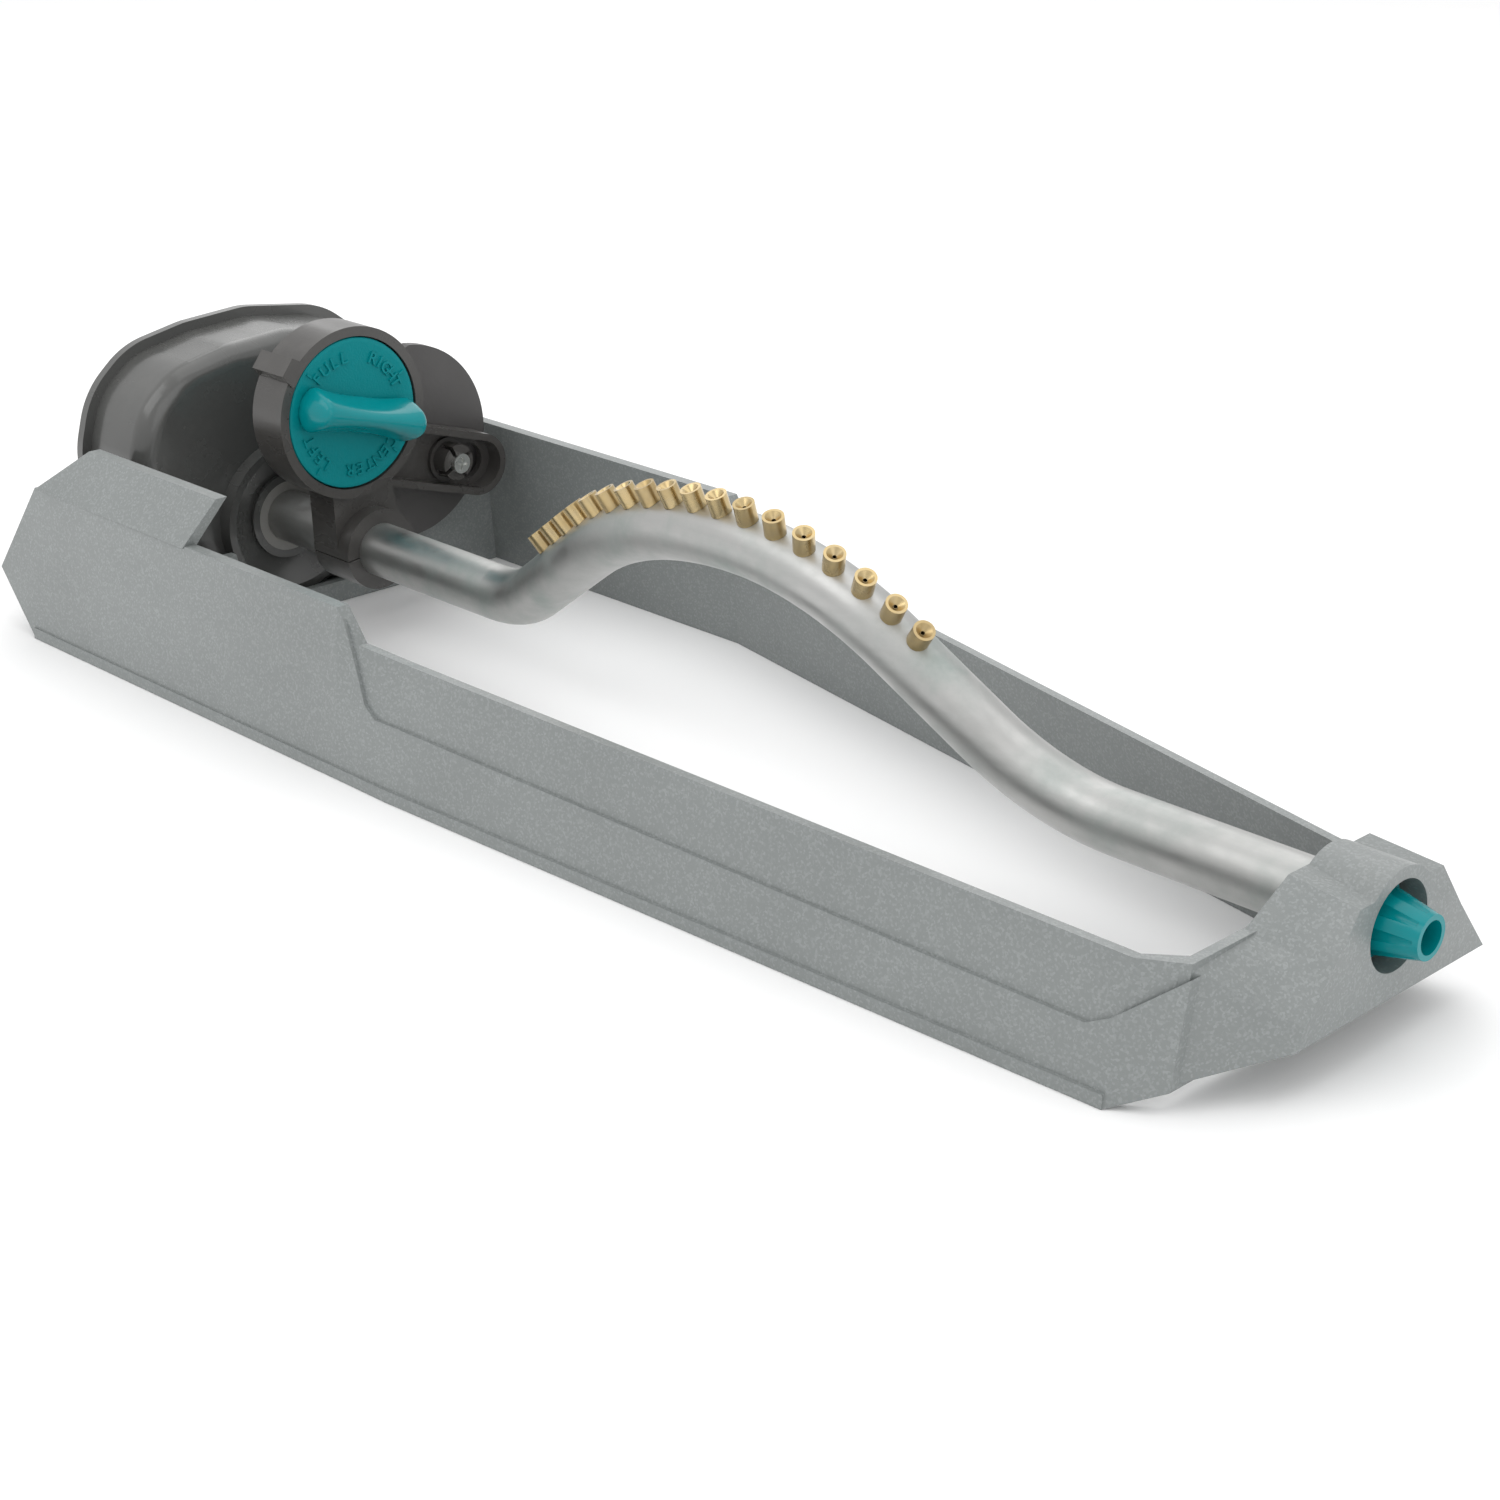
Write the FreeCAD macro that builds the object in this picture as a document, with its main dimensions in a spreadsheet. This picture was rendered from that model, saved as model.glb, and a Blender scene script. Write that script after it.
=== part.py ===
import FreeCAD, Part
import Sketcher
import math
import os
from FreeCAD import Placement, Rotation, Vector

# Oscillating lawn sprinkler: a plastic frame, a water motor in its wide end and an arched
# spray tube that swings across the frame.  X runs from the motor end to the plug end,
# Z is up and the ground is Z = 0.  The swing axis lies along X at Y = 0.

DOC = FreeCAD.newDocument("sprinkler")
SHEET = DOC.addObject("Spreadsheet::Sheet", "Dims")
X_AXIS = Vector(1, 0, 0)
ALONG_X = Rotation(Vector(0, 1, 0), 90)

DIMENSIONS = [
    # frame: plan outline, side profile and walls
    ("frame_back_x", -227), ("frame_foot_back_x", -208), ("frame_brow_back_x", -206),
    ("frame_back_mid_height", 18), ("deck_wall_height", 47), ("shoulder_x", -56),
    ("shoulder_foot_x", -49), ("shoulder_foot_height", 38), ("rail_start_x", -33),
    ("rail_start_height", 36.5), ("rail_end_height", 32), ("nose_start_x", 195),
    ("hump_back_x", 206), ("hump_front_x", 221), ("near_side_y", 75), ("far_side_y", 78),
    ("near_shoulder_y", 74), ("near_nose_y", 64), ("near_hump_y", 57.5), ("far_nose_y", 29),
    ("far_hump_y", 31), ("motor_lean", 4), ("rail_lean", 9.5), ("lean_height", 48),
    ("frame_wall", 3.6), ("nose_rise", 5.2), ("brow_height", 60), ("brow_inset", 9),
    ("brow_top_back_x", -188), ("far_brow_shift", 52), ("brow_front_x", -127), ("brow_top_front_x", -122),
    ("panel_step_height", 20), ("panel_step_end_height", 16), ("panel_depth", 1.0),
    ("deck_height", 4), ("deck_thickness", 2.6), ("cross_wall_x", -171),
    ("cross_wall_height", 24), ("cross_wall_opening", 26), ("foot_flange", 0.35),
    ("foot_flange_height", 3.4), ("back_gap_near", 55.5), ("back_gap_far", 62.5),
    # hump that carries the far end of the tube
    ("hump_top", 40), ("hump_face_top", 38), ("hump_half_top", 15.5), ("hump_half_low", 35),
    ("hump_low", 12), ("hump_back_low", 5.2), ("bush_bore", 10.6),
    # swing axis and spray tube
    ("axis_height", 29), ("tube_radius", 7.94), ("tube_wall", 1.1), ("tube_start_x", -206),
    ("tube_end_x", 212), ("arch_peak_x", 39), ("arch_height", 49), ("arch_back_radius", 110),
    ("arch_front_radius", 75), ("arch_back_angle", 35), ("arch_front_angle", 39),
    ("back_bend_radius", 36), ("front_bend_radius", 60), ("rest_tilt", 20),
    ("nozzle_count", 18), ("nozzle_radius", 2.75), ("nozzle_height", 5.4),
    ("nozzle_bore", 0.55), ("nozzle_first", 20), ("nozzle_pitch", 8.35),
    ("running_fit", 0.06), ("collar_radius", 10.1), ("collar_length", 5),
    # motor housing
    ("plate_back_x", -211), ("plate_thickness", 3), ("plate_rim", 3), ("front_face_x", -181),
    ("case_wall", 2.5), ("case_round", 24), ("rear_depth", 14), ("rear_half_width", 36), ("rear_low", 8),
    ("rear_top", 74), ("sleeve_radius", 12.6), ("sleeve_bore", 10.4), ("nose_radius", 24),
    ("nose_lip", 2.4), ("nose_length", 5), ("bush_length", 8), ("bush_radius", 11),
    # gear train
    ("gear_module", 0.8), ("wheel_teeth", 36), ("pinion_teeth", 12), ("output_teeth", 40),
    ("centre_gap", 0.12), ("gear_face", 5), ("layer_pitch", 6), ("first_layer_x", -206),
    ("crank_y", 33), ("crank_z", 49.5), ("first_angle", 160), ("second_angle", 175),
    ("third_angle", 230), ("gear_pin_radius", 1.5), ("gear_bore_fit", 0.07),
    ("output_shaft_radius", 3), ("turbine_shaft_radius", 1.5), ("turbine_radius", 12),
    ("turbine_blades", 12), ("turbine_length", 8), ("jet_ring_inner", 12.6),
    ("jet_ring_outer", 14.4),
    # crank disc, link and dial lever
    ("disc_radius", 30.4), ("disc_thickness", 3.5), ("disc_front_x", -161), ("crank_throw", 13),
    ("crank_angle", -30), ("crank_pin_radius", 4), ("pivot_gap", 0.4), ("link_back_x", -159),
    ("link_web", 2.2), ("link_height", 8), ("link_half_width", 9.8), ("link_wall", 2.2),
    ("slot_half_width", 5.7), ("slot_reach", 9), ("link_tip_reach", 20),
    ("lever_length", 42.3), ("lever_angle", 6.8), ("ring_radius", 25.5), ("ring_back_x", -149),
    ("ring_front_x", -135), ("dial_radius", 22.3), ("dial_pocket", 22.65), ("dial_hub", 17.4),
    ("hub_hole", 17.6), ("dial_depth", 5), ("clip_radius", 21), ("clip_thickness", 1.2),
    ("pin_offset", 14), ("pin_radius", 3), ("handle_length", 40), ("handle_width", 13),
    ("handle_waist", 8.4), ("handle_height", 12), ("handle_angle", -15.5), ("clamp_radius", 12.2),
    ("clamp_length", 17), ("neck_width", 24), ("marker_angle", 45),
    # plug, hose coupling and fasteners
    ("plug_radius", 8.2), ("plug_tip_radius", 5.2), ("plug_length", 13.4), ("plug_flange", 9.2),
    ("plug_shank", 6.2), ("flute_count", 8), ("recess_radius", 3.9), ("seal_thickness", 1.4),
    ("neck_radius", 9), ("neck_bore", 6.5), ("neck_length", 22), ("neck_lip", 10.6),
    ("nut_radius", 17), ("nut_length", 21), ("hose_thread_radius", 13.5),
    ("screw_radius", 1.6), ("screw_head", 3.1),
    # the whole part is moved along X so that its origin is midway along its length
    ("origin_shift", 17.15), ("washer_fit", 0.3),
]


def fill_sheet():
    """Write every driving dimension as text with its alias."""
    for row, (alias, value) in enumerate(DIMENSIONS, 1):
        cell = "B%d" % row
        SHEET.set("A%d" % row, alias)
        SHEET.set(cell, str(value))
        SHEET.setAlias(cell, alias)
    DOC.recompute()


def dim(alias):
    """Value of one dimension from the sheet."""
    return float(SHEET.get(alias))


def keep(label, obj):
    """Name a finished sub-part and list it for export."""
    obj.Label = label
    FINISHED.append(obj)
    return obj


def solid(label, shape):
    """A sub-part whose shape is computed from the sheet."""
    feature = DOC.addObject("Part::Feature", label)
    feature.Shape = shape
    place = shape.Placement
    place.Base = place.Base + Vector(dim("origin_shift"), 0, 0)
    feature.Placement = place
    return keep(label, feature)


FINISHED = []
fill_sheet()


# ---------------------------------------------------------------- shape helpers
def bind(obj, prop, formula):
    """Drive one property by a formula on the sheet; plain aliases become Dims.alias."""
    words = formula.replace("(", " ( ").replace(")", " ) ").split()
    known = set(name for name, _value in DIMENSIONS)
    text = " ".join("Dims." + w if w in known else w for w in words)
    obj.setExpression(prop, text.replace("cos (", "cos(").replace("sin (", "sin("))


def rod(name, radius, length, x, y, z):
    """Cylinder along X bound to the sheet."""
    obj = DOC.addObject("Part::Cylinder", name)
    obj.Placement = Placement(Vector(0, 0, 0), ALONG_X)
    bind(obj, "Radius", radius)
    bind(obj, "Height", length)
    bind(obj, "Placement.Base.x", x)
    bind(obj, "Placement.Base.y", y)
    bind(obj, "Placement.Base.z", z)
    return obj


def joined(name, parts):
    """Fuse of several objects."""
    obj = DOC.addObject("Part::MultiFuse", name)
    obj.Shapes = parts
    return obj


def bored(name, base, tools):
    """Base with the tools cut away."""
    tool = tools[0] if len(tools) == 1 else joined(name + "_tools", tools)
    obj = DOC.addObject("Part::Cut", name)
    obj.Base = base
    obj.Tool = tool
    return obj


def ring(label, outer, inner, length, x, y, z):
    """A plain sleeve along X as a finished sub-part."""
    body = rod(label + "_outer", outer, length, x, y, z)
    hole = rod(label + "_bore", inner, length + " + 2", x + " - 1", y, z)
    sleeve = bored(label, body, [hole])
    bind(sleeve, "Placement.Base.x", "origin_shift")
    return keep(label, sleeve)


def sketch_on(body, name, role, offset):
    """Sketch on one origin plane of a body, moved along its normal by a formula."""
    plane = [f for f in body.Origin.OriginFeatures if f.Role == role][0]
    sketch = body.newObject("Sketcher::SketchObject", name)
    sketch.AttachmentSupport = [(plane, "")]
    sketch.MapMode = "FlatFace"
    bind(sketch, "AttachmentOffset.Base.z", offset)
    return sketch


def add_polygon(sketch, points):
    """Closed polygon whose corners are pinned by signed distances."""
    first = sketch.GeometryCount
    values = [(evaluate(x), evaluate(y)) for x, y in points]
    for here, there in zip(values, values[1:] + values[:1]):
        sketch.addGeometry(Part.LineSegment(Vector(*here, 0), Vector(*there, 0)), False)
    count = len(points)
    for i in range(count):
        following = first + (i + 1) % count
        sketch.addConstraint(Sketcher.Constraint("Coincident", first + i, 2, following, 1))
    for i, (x, y) in enumerate(points):
        for kind, formula, value in (("DistanceX", x, values[i][0]), ("DistanceY", y, values[i][1])):
            constraint = Sketcher.Constraint(kind, -1, 1, first + i, 1, value)
            index = sketch.addConstraint(constraint)
            bind(sketch, "Constraints[%d]" % index, formula)


def add_circle(sketch, x, y, radius):
    """Circle pinned by its centre and radius."""
    circle = Part.Circle(Vector(evaluate(x), evaluate(y), 0), Vector(0, 0, 1), evaluate(radius))
    index = sketch.addGeometry(circle, False)
    place = sketch.addConstraint(Sketcher.Constraint("DistanceX", -1, 1, index, 3, evaluate(x)))
    bind(sketch, "Constraints[%d]" % place, x)
    place = sketch.addConstraint(Sketcher.Constraint("DistanceY", -1, 1, index, 3, evaluate(y)))
    bind(sketch, "Constraints[%d]" % place, y)
    place = sketch.addConstraint(Sketcher.Constraint("Radius", index, evaluate(radius)))
    bind(sketch, "Constraints[%d]" % place, radius)


def evaluate(formula):
    """Number behind a formula made of aliases, numbers and + - * / sin cos."""
    words = formula.replace("(", " ( ").replace(")", " ) ").split()
    names = dict((name, dim(name)) for name, _value in DIMENSIONS)
    return calculate(words, names)


def calculate(words, names):
    """Small left-to-right calculator with brackets and the usual precedence."""
    words = list(words)

    def atom():
        word = words.pop(0)
        if word == "-":
            return -atom()
        if word in ("sin", "cos"):
            value = math.radians(atom())
            return math.sin(value) if word == "sin" else math.cos(value)
        if word == "(":
            value = total()
            words.pop(0)
            return value
        return names[word] if word in names else float(word)

    def product():
        value = atom()
        while words and words[0] in "*/":
            sign = words.pop(0)
            other = atom()
            value = value * other if sign == "*" else value / other
        return value

    def total():
        value = product()
        while words and words[0] in "+-":
            sign = words.pop(0)
            other = product()
            value = value + other if sign == "+" else value - other
        return value

    return total()


def pad(body, sketch, length):
    """Pad a sketch along its normal."""
    feature = body.newObject("PartDesign::Pad", sketch.Name + "_pad")
    feature.Profile = sketch
    bind(feature, "Length", length)
    sketch.Visibility = False
    return feature


def pocket(body, sketch, depth):
    """Cut a sketch downwards against its normal and check that it removes material."""
    DOC.recompute()
    before = body.Shape.Volume
    feature = body.newObject("PartDesign::Pocket", sketch.Name + "_pocket")
    feature.Profile = sketch
    bind(feature, "Length", depth)
    DOC.recompute()
    if not body.Shape.Volume < before:
        raise RuntimeError("pocket %s removes nothing" % sketch.Name)
    return feature


def new_body(label):
    """Empty PartDesign body listed for export."""
    body = DOC.addObject("PartDesign::Body", label)
    return keep(label, body)


def face_of(points):
    """Planar face through a list of points."""
    return Part.Face(Part.makePolygon(points + [points[0]]))


def prism_along_y(points, low, high):
    """Solid from an XZ outline between two Y values."""
    face = face_of([Vector(x, low, z) for x, z in points])
    return face.extrude(Vector(0, high - low, 0))


def prism_along_x(points, low, high):
    """Solid from a YZ outline between two X values."""
    face = face_of([Vector(low, y, z) for y, z in points])
    return face.extrude(Vector(high - low, 0, 0))


def skin(low_points, high_points, low, high):
    """Ruled solid between two plan outlines with the same number of corners."""
    low_wire = Part.makePolygon([Vector(x, y, low) for x, y in low_points + low_points[:1]])
    high_wire = Part.makePolygon([Vector(x, y, high) for x, y in high_points + high_points[:1]])
    return Part.makeLoft([low_wire, high_wire], True, True)


def x_rod(radius, low, high, y, z):
    """Plain cylinder along X between two X values."""
    return Part.makeCylinder(radius, high - low, Vector(low, y, z), X_AXIS)


# ---------------------------------------------------------------- frame
def plan_outline(lean, inset):
    """Plan outline of the frame at one height: lean moves the sides in, inset adds a wall."""
    motor = dim("motor_lean") * lean + inset
    rail = dim("rail_lean") * lean + inset
    back = dim("frame_back_x") + inset
    front = dim("hump_back_x") - inset
    return [
        (back, -dim("near_side_y") + motor),
        (dim("shoulder_x"), -dim("near_shoulder_y") + motor),
        (dim("rail_start_x"), -dim("near_shoulder_y") + 0.9 * rail + 0.1 * inset),
        (dim("nose_start_x"), -dim("near_nose_y") + rail),
        (front, -dim("near_hump_y") + rail),
        (front, dim("far_hump_y") - rail),
        (dim("nose_start_x"), dim("far_nose_y") - rail),
        (dim("shoulder_x"), dim("far_side_y") - motor),
        (back, dim("far_side_y") - motor),
    ]


def side_profile(inset):
    """Side outline of the frame; with an inset it is the open core that hollows it."""
    back = dim("frame_back_x")
    foot = dim("frame_foot_back_x")
    brow = dim("frame_brow_back_x")
    if inset:
        return [
            (back + 1.45 * inset, dim("frame_back_mid_height")),
            (foot + 1.45 * inset, -1),
            (dim("hump_back_x") + inset, -1),
            (dim("hump_back_x") + inset, 90),
            (brow + 1.45 * inset + 30, 90),
            (brow + 1.45 * inset, dim("deck_wall_height")),
        ]
    return [
        (back, dim("frame_back_mid_height")),
        (foot, 0),
        (dim("nose_start_x"), 0),
        (dim("hump_back_x"), dim("nose_rise")),
        (dim("hump_back_x"), dim("rail_end_height")),
        (dim("rail_start_x"), dim("rail_start_height")),
        (dim("shoulder_foot_x"), dim("shoulder_foot_height")),
        (dim("shoulder_x"), dim("deck_wall_height")),
        (brow, dim("deck_wall_height")),
    ]


def wall_skin(inset):
    """Leaning outer or inner surface of the frame walls as a full-height solid."""
    top = dim("lean_height") + 14
    lean = top / dim("lean_height")
    return skin(plan_outline(0, inset), plan_outline(lean, inset), 0, top)


def frame_walls():
    """Side walls, rails and motor end as one leaning ring."""
    reach = 120
    outer = wall_skin(0).common(prism_along_y(side_profile(0), -reach, reach))
    inner_skin = wall_skin(dim("frame_wall"))
    inner = inner_skin.common(prism_along_y(side_profile(dim("frame_wall")), -reach, reach))
    lower = inner.copy()
    lower.translate(Vector(0, 0, -2))
    return outer.cut(inner).cut(lower)


def panel_recess():
    """Shallow step on the outside of both rails above a line near the foot."""
    reach = 120
    step = 3
    outline = [
        (dim("shoulder_foot_x") + 4, dim("panel_step_height") + step),
        (dim("shoulder_foot_x") + 8, dim("panel_step_height")),
        (dim("nose_start_x") - 8, dim("panel_step_end_height")),
        (dim("nose_start_x") - 2, dim("panel_step_end_height") + step),
        (dim("hump_back_x") + 1, dim("rail_end_height") - 2),
        (dim("hump_back_x") + 1, dim("deck_wall_height")),
        (dim("shoulder_foot_x") - 6, dim("deck_wall_height")),
    ]
    band = wall_skin(0).cut(wall_skin(dim("panel_depth")))
    return band.common(prism_along_y(outline, -reach, reach))


def foot_band():
    """Rounded band that stands out a little along the foot of the walls."""
    height = dim("foot_flange_height")
    band = skin(plan_outline(0, -dim("foot_flange")), plan_outline(0, -dim("foot_flange")), 0, height)
    core = skin(plan_outline(0, dim("frame_wall")), plan_outline(0, dim("frame_wall")), 0, height)
    limit = Part.makeBox(
        dim("nose_start_x") - dim("frame_foot_back_x"), 240, height,
        Vector(dim("frame_foot_back_x"), -120, 0),
    )
    return band.cut(core).common(limit)


def brow(side):
    """Sloping plate above one wall beside the motor; side is -1 near or 1 far."""
    half = dim("near_side_y") if side < 0 else dim("far_side_y")
    base = half - dim("motor_lean") * dim("deck_wall_height") / dim("lean_height")
    top = base - dim("brow_inset")
    wall = dim("frame_wall")
    section = [
        (side * base, dim("deck_wall_height") - 0.5),
        (side * top, dim("brow_height")),
        (side * (top - wall), dim("brow_height")),
        (side * (base - wall - 1), dim("deck_wall_height") - 0.5),
    ]
    plate = prism_along_x(section, dim("frame_brow_back_x"), dim("brow_top_front_x") + 10)
    shift = 0 if side < 0 else dim("far_brow_shift")
    outline = [
        (dim("frame_brow_back_x"), dim("deck_wall_height") - 0.5),
        (dim("brow_front_x") - shift, dim("deck_wall_height") - 0.5),
        (dim("brow_top_front_x") - shift, dim("brow_height")),
        (dim("brow_top_back_x"), dim("brow_height")),
    ]
    return plate.common(prism_along_y(outline, -120, 120))


def deck():
    """Floor under the motor and the cross wall in front of it with its round opening."""
    low = dim("deck_height") - dim("deck_thickness")
    back = dim("frame_foot_back_x") - 2
    front = dim("cross_wall_x")
    wall = dim("deck_thickness")
    floor = Part.makeBox(front - back, 240, wall, Vector(back, -120, low))
    upright = Part.makeBox(wall, 240, dim("cross_wall_height"), Vector(front - wall, -120, 0))
    opening = x_rod(dim("cross_wall_opening"), front - 10, front + 10, 0, dim("axis_height"))
    above = floor.copy()
    above.translate(Vector(0, 0, dim("deck_thickness")))
    plate = floor.fuse(upright.cut(opening.cut(above.fuse(floor))))
    return plate.common(wall_skin(1).common(prism_along_y(side_profile(0), -120, 120)))


def hump_sections():
    """Cross sections of the hump where it meets the rails and at its front face."""
    back = [
        (-dim("near_hump_y") + 0.4, dim("hump_back_low")),
        (-dim("near_hump_y") + 6, dim("rail_end_height")),
        (-30, dim("rail_end_height")),
        (-dim("hump_half_top"), dim("hump_top")),
        (dim("hump_half_top") - 1, dim("hump_top")),
        (dim("far_hump_y") - 6.5, dim("rail_end_height")),
        (dim("far_hump_y") + 1, dim("hump_back_low")),
    ]
    front = [
        (-dim("hump_half_low"), dim("hump_low")),
        (-dim("hump_half_low") + 2.5, dim("hump_low") + 5),
        (-dim("hump_half_top") - 8.5, dim("hump_low") + 15),
        (-dim("hump_half_top"), dim("hump_face_top")),
        (dim("hump_half_top"), dim("hump_face_top")),
        (dim("hump_half_top") + 9, dim("hump_low") + 14),
        (dim("hump_half_low") + 1, dim("hump_low")),
    ]
    return back, front


def hump():
    """Tapered block across the narrow end, hollow underneath, bored for the bush."""
    back, front = hump_sections()
    low = dim("hump_back_x") - 3
    high = dim("hump_front_x")
    wires = []
    for x, section in ((low, back), (high, front)):
        points = [Vector(x, y, z) for y, z in section]
        wires.append(Part.makePolygon(points + points[:1]))
    block = Part.makeLoft(wires, True, True)
    hollow = Part.makeBox(
        high - low - 6, 2 * dim("hump_half_low") - 12, 14,
        Vector(low + 3, -dim("hump_half_low") + 6, 0),
    )
    height = dim("axis_height")
    bore = x_rod(dim("bush_bore"), low - 1, high + 1, 0, height)
    return block.cut(hollow).fuse(x_rod(dim("bush_bore") + 3, low, high, 0, height)).cut(bore)


def frame():
    """Moulded frame: walls, rails, deck, brows and hump in one piece."""
    pieces = [frame_walls().cut(panel_recess()), foot_band(), brow(-1), brow(1), deck()]
    shape = pieces[0].multiFuse(pieces[1:] + [hump()])
    back = dim("frame_back_x")
    gap = Part.makeBox(
        40, dim("back_gap_near") + dim("back_gap_far"), 80,
        Vector(back - 1, -dim("back_gap_near"), dim("deck_height")),
    )
    shape = shape.cut(gap)
    height = dim("axis_height")
    shape = shape.cut(x_rod(dim("bush_bore"), dim("hump_back_x") - 5, dim("hump_front_x") + 1,
                            0, height))
    for y, z in deck_screw_places():
        hole = Part.makeCylinder(dim("screw_radius") + 0.3, 10, Vector(deck_screw_x(), y, z - 5))
        shape = shape.cut(hole)
    shape = shape.removeSplitter()
    loose = [round(s.Volume, 2) for s in shape.Solids]
    if len(loose) != 1:
        raise RuntimeError("the frame is in separate pieces, mm3: %s" % loose)
    return shape.Solids[0]


def deck_screw_x():
    """X of the screws that hold the motor down from below."""
    return dim("front_face_x") - 12


def deck_screw_places():
    """Y and Z of the deck screws at the underside of the deck."""
    low = dim("deck_height") - dim("deck_thickness")
    return [(-34, low), (34, low)]


# ---------------------------------------------------------------- spray tube
def arch_stations():
    """Corner points of the arched centreline as arcs and straight runs in the XZ plane."""
    back = math.radians(dim("arch_back_angle"))
    front = math.radians(dim("arch_front_angle"))
    peak = dim("arch_peak_x")
    height = dim("arch_height")
    top_back = (
        peak - dim("arch_back_radius") * math.sin(back),
        height - dim("arch_back_radius") * (1 - math.cos(back)),
    )
    top_front = (
        peak + dim("arch_front_radius") * math.sin(front),
        height - dim("arch_front_radius") * (1 - math.cos(front)),
    )
    foot_back_up = dim("back_bend_radius") * (1 - math.cos(back))
    foot_back_x = top_back[0] - (top_back[1] - foot_back_up) / math.tan(back)
    foot_front_up = dim("front_bend_radius") * (1 - math.cos(front))
    foot_front_x = top_front[0] + (top_front[1] - foot_front_up) / math.tan(front)
    return {
        "back_start": (foot_back_x - dim("back_bend_radius") * math.sin(back), 0),
        "back_foot": (foot_back_x, foot_back_up),
        "top_back": top_back,
        "peak": (peak, height),
        "top_front": top_front,
        "front_foot": (foot_front_x, foot_front_up),
        "front_end": (foot_front_x + dim("front_bend_radius") * math.sin(front), 0),
    }


def arc_between(start, end, radius, side):
    """Arc from start to end; side 1 bulges up, -1 bulges down."""
    middle = (Vector(start) + Vector(end)) * 0.5
    chord = Vector(end) - Vector(start)
    sag = radius - math.sqrt(radius * radius - chord.Length * chord.Length / 4)
    normal = Vector(-chord.z, 0, chord.x)
    normal.normalize()
    return Part.Arc(Vector(start), middle + normal * (sag * side), Vector(end)).toShape()


def tube_path():
    """Centreline wire of the spray tube, arch upright, at the swing axis."""
    s = arch_stations()
    point = dict((name, Vector(x, 0, z)) for name, (x, z) in s.items())
    start = Vector(dim("tube_start_x"), 0, 0)
    end = Vector(dim("tube_end_x"), 0, 0)
    edges = [
        Part.makeLine(start, point["back_start"]),
        arc_between(point["back_start"], point["back_foot"], dim("back_bend_radius"), -1),
        Part.makeLine(point["back_foot"], point["top_back"]),
        arc_between(point["top_back"], point["peak"], dim("arch_back_radius"), 1),
        arc_between(point["peak"], point["top_front"], dim("arch_front_radius"), 1),
        Part.makeLine(point["top_front"], point["front_foot"]),
        arc_between(point["front_foot"], point["front_end"], dim("front_bend_radius"), -1),
        Part.makeLine(point["front_end"], end),
    ]
    return Part.Wire(edges)


def swept(path, radius):
    """Round bar along a wire that starts in the X direction."""
    start = path.Edges[0].Vertexes[0].Point
    profile = Part.Wire([Part.makeCircle(radius, start, X_AXIS)])
    return path.makePipeShell([profile], True, False)


def on_tube(shape):
    """Lift a shape built at the origin axis to the swing axis with the resting tilt."""
    placed = shape.copy()
    placed.rotate(Vector(0, 0, 0), X_AXIS, dim("rest_tilt"))
    placed.translate(Vector(0, 0, dim("axis_height")))
    return placed


def nozzle_places():
    """Base point and outward direction of each nozzle along the arch."""
    path = tube_path()
    curved = path.Edges[2:7]
    places = []
    for i in range(int(dim("nozzle_count"))):
        travel = dim("nozzle_first") + i * dim("nozzle_pitch")
        for edge in curved:
            if travel <= edge.Length:
                break
            travel -= edge.Length
        u = edge.getParameterByLength(travel)
        tangent = edge.tangentAt(u)
        point = edge.valueAt(u)
        if tangent.x < 0:
            u = edge.getParameterByLength(edge.Length - travel)
            tangent = edge.tangentAt(u) * -1
            point = edge.valueAt(u)
        outward = Vector(-tangent.z, 0, tangent.x)
        places.append((point, outward))
    return places


def spray_tube():
    """Arched aluminium tube with a drilled seat under every nozzle."""
    path = tube_path()
    shape = swept(path, dim("tube_radius"))
    shape = shape.cut(swept(path, dim("tube_radius") - dim("tube_wall")))
    holes = []
    for point, outward in nozzle_places():
        holes.append(Part.makeCylinder(seat_radius(), dim("tube_radius") + 2, point, outward))
    return on_tube(shape.cut(Part.makeCompound(holes)))


def seat_radius():
    """Radius of the drilled seat that a nozzle shank is pressed into."""
    return dim("nozzle_radius") - 0.9


def nozzle(point, outward):
    """One brass nozzle: pressed shank, body, rim and orifice."""
    sunk = dim("tube_radius") - dim("tube_wall") - 0.4
    face = dim("tube_radius") - 0.35
    radius = dim("nozzle_radius")
    height = dim("nozzle_height")
    shank = Part.makeCylinder(seat_radius(), face - sunk + 1, point + outward * sunk, outward)
    body = Part.makeCylinder(radius, height, point + outward * face, outward)
    saddle = Part.makeCylinder(dim("tube_radius"), 4 * radius, point, tangent_of(outward))
    saddle.translate(tangent_of(outward) * (-2 * radius))
    dish = Part.makeCone(0.6, radius - 0.7, 1.3, point + outward * (face + height - 1.3), outward)
    bore = Part.makeCylinder(dim("nozzle_bore"), height + 4, point + outward * (sunk - 1), outward)
    return body.cut(saddle).fuse(shank).cut(dish).cut(bore)


def tangent_of(outward):
    """Direction along the tube for a given outward direction."""
    return Vector(outward.z, 0, -outward.x)


def nozzles():
    """All brass nozzles as separate solids."""
    return on_tube(Part.makeCompound([nozzle(p, n) for p, n in nozzle_places()]))


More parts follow.
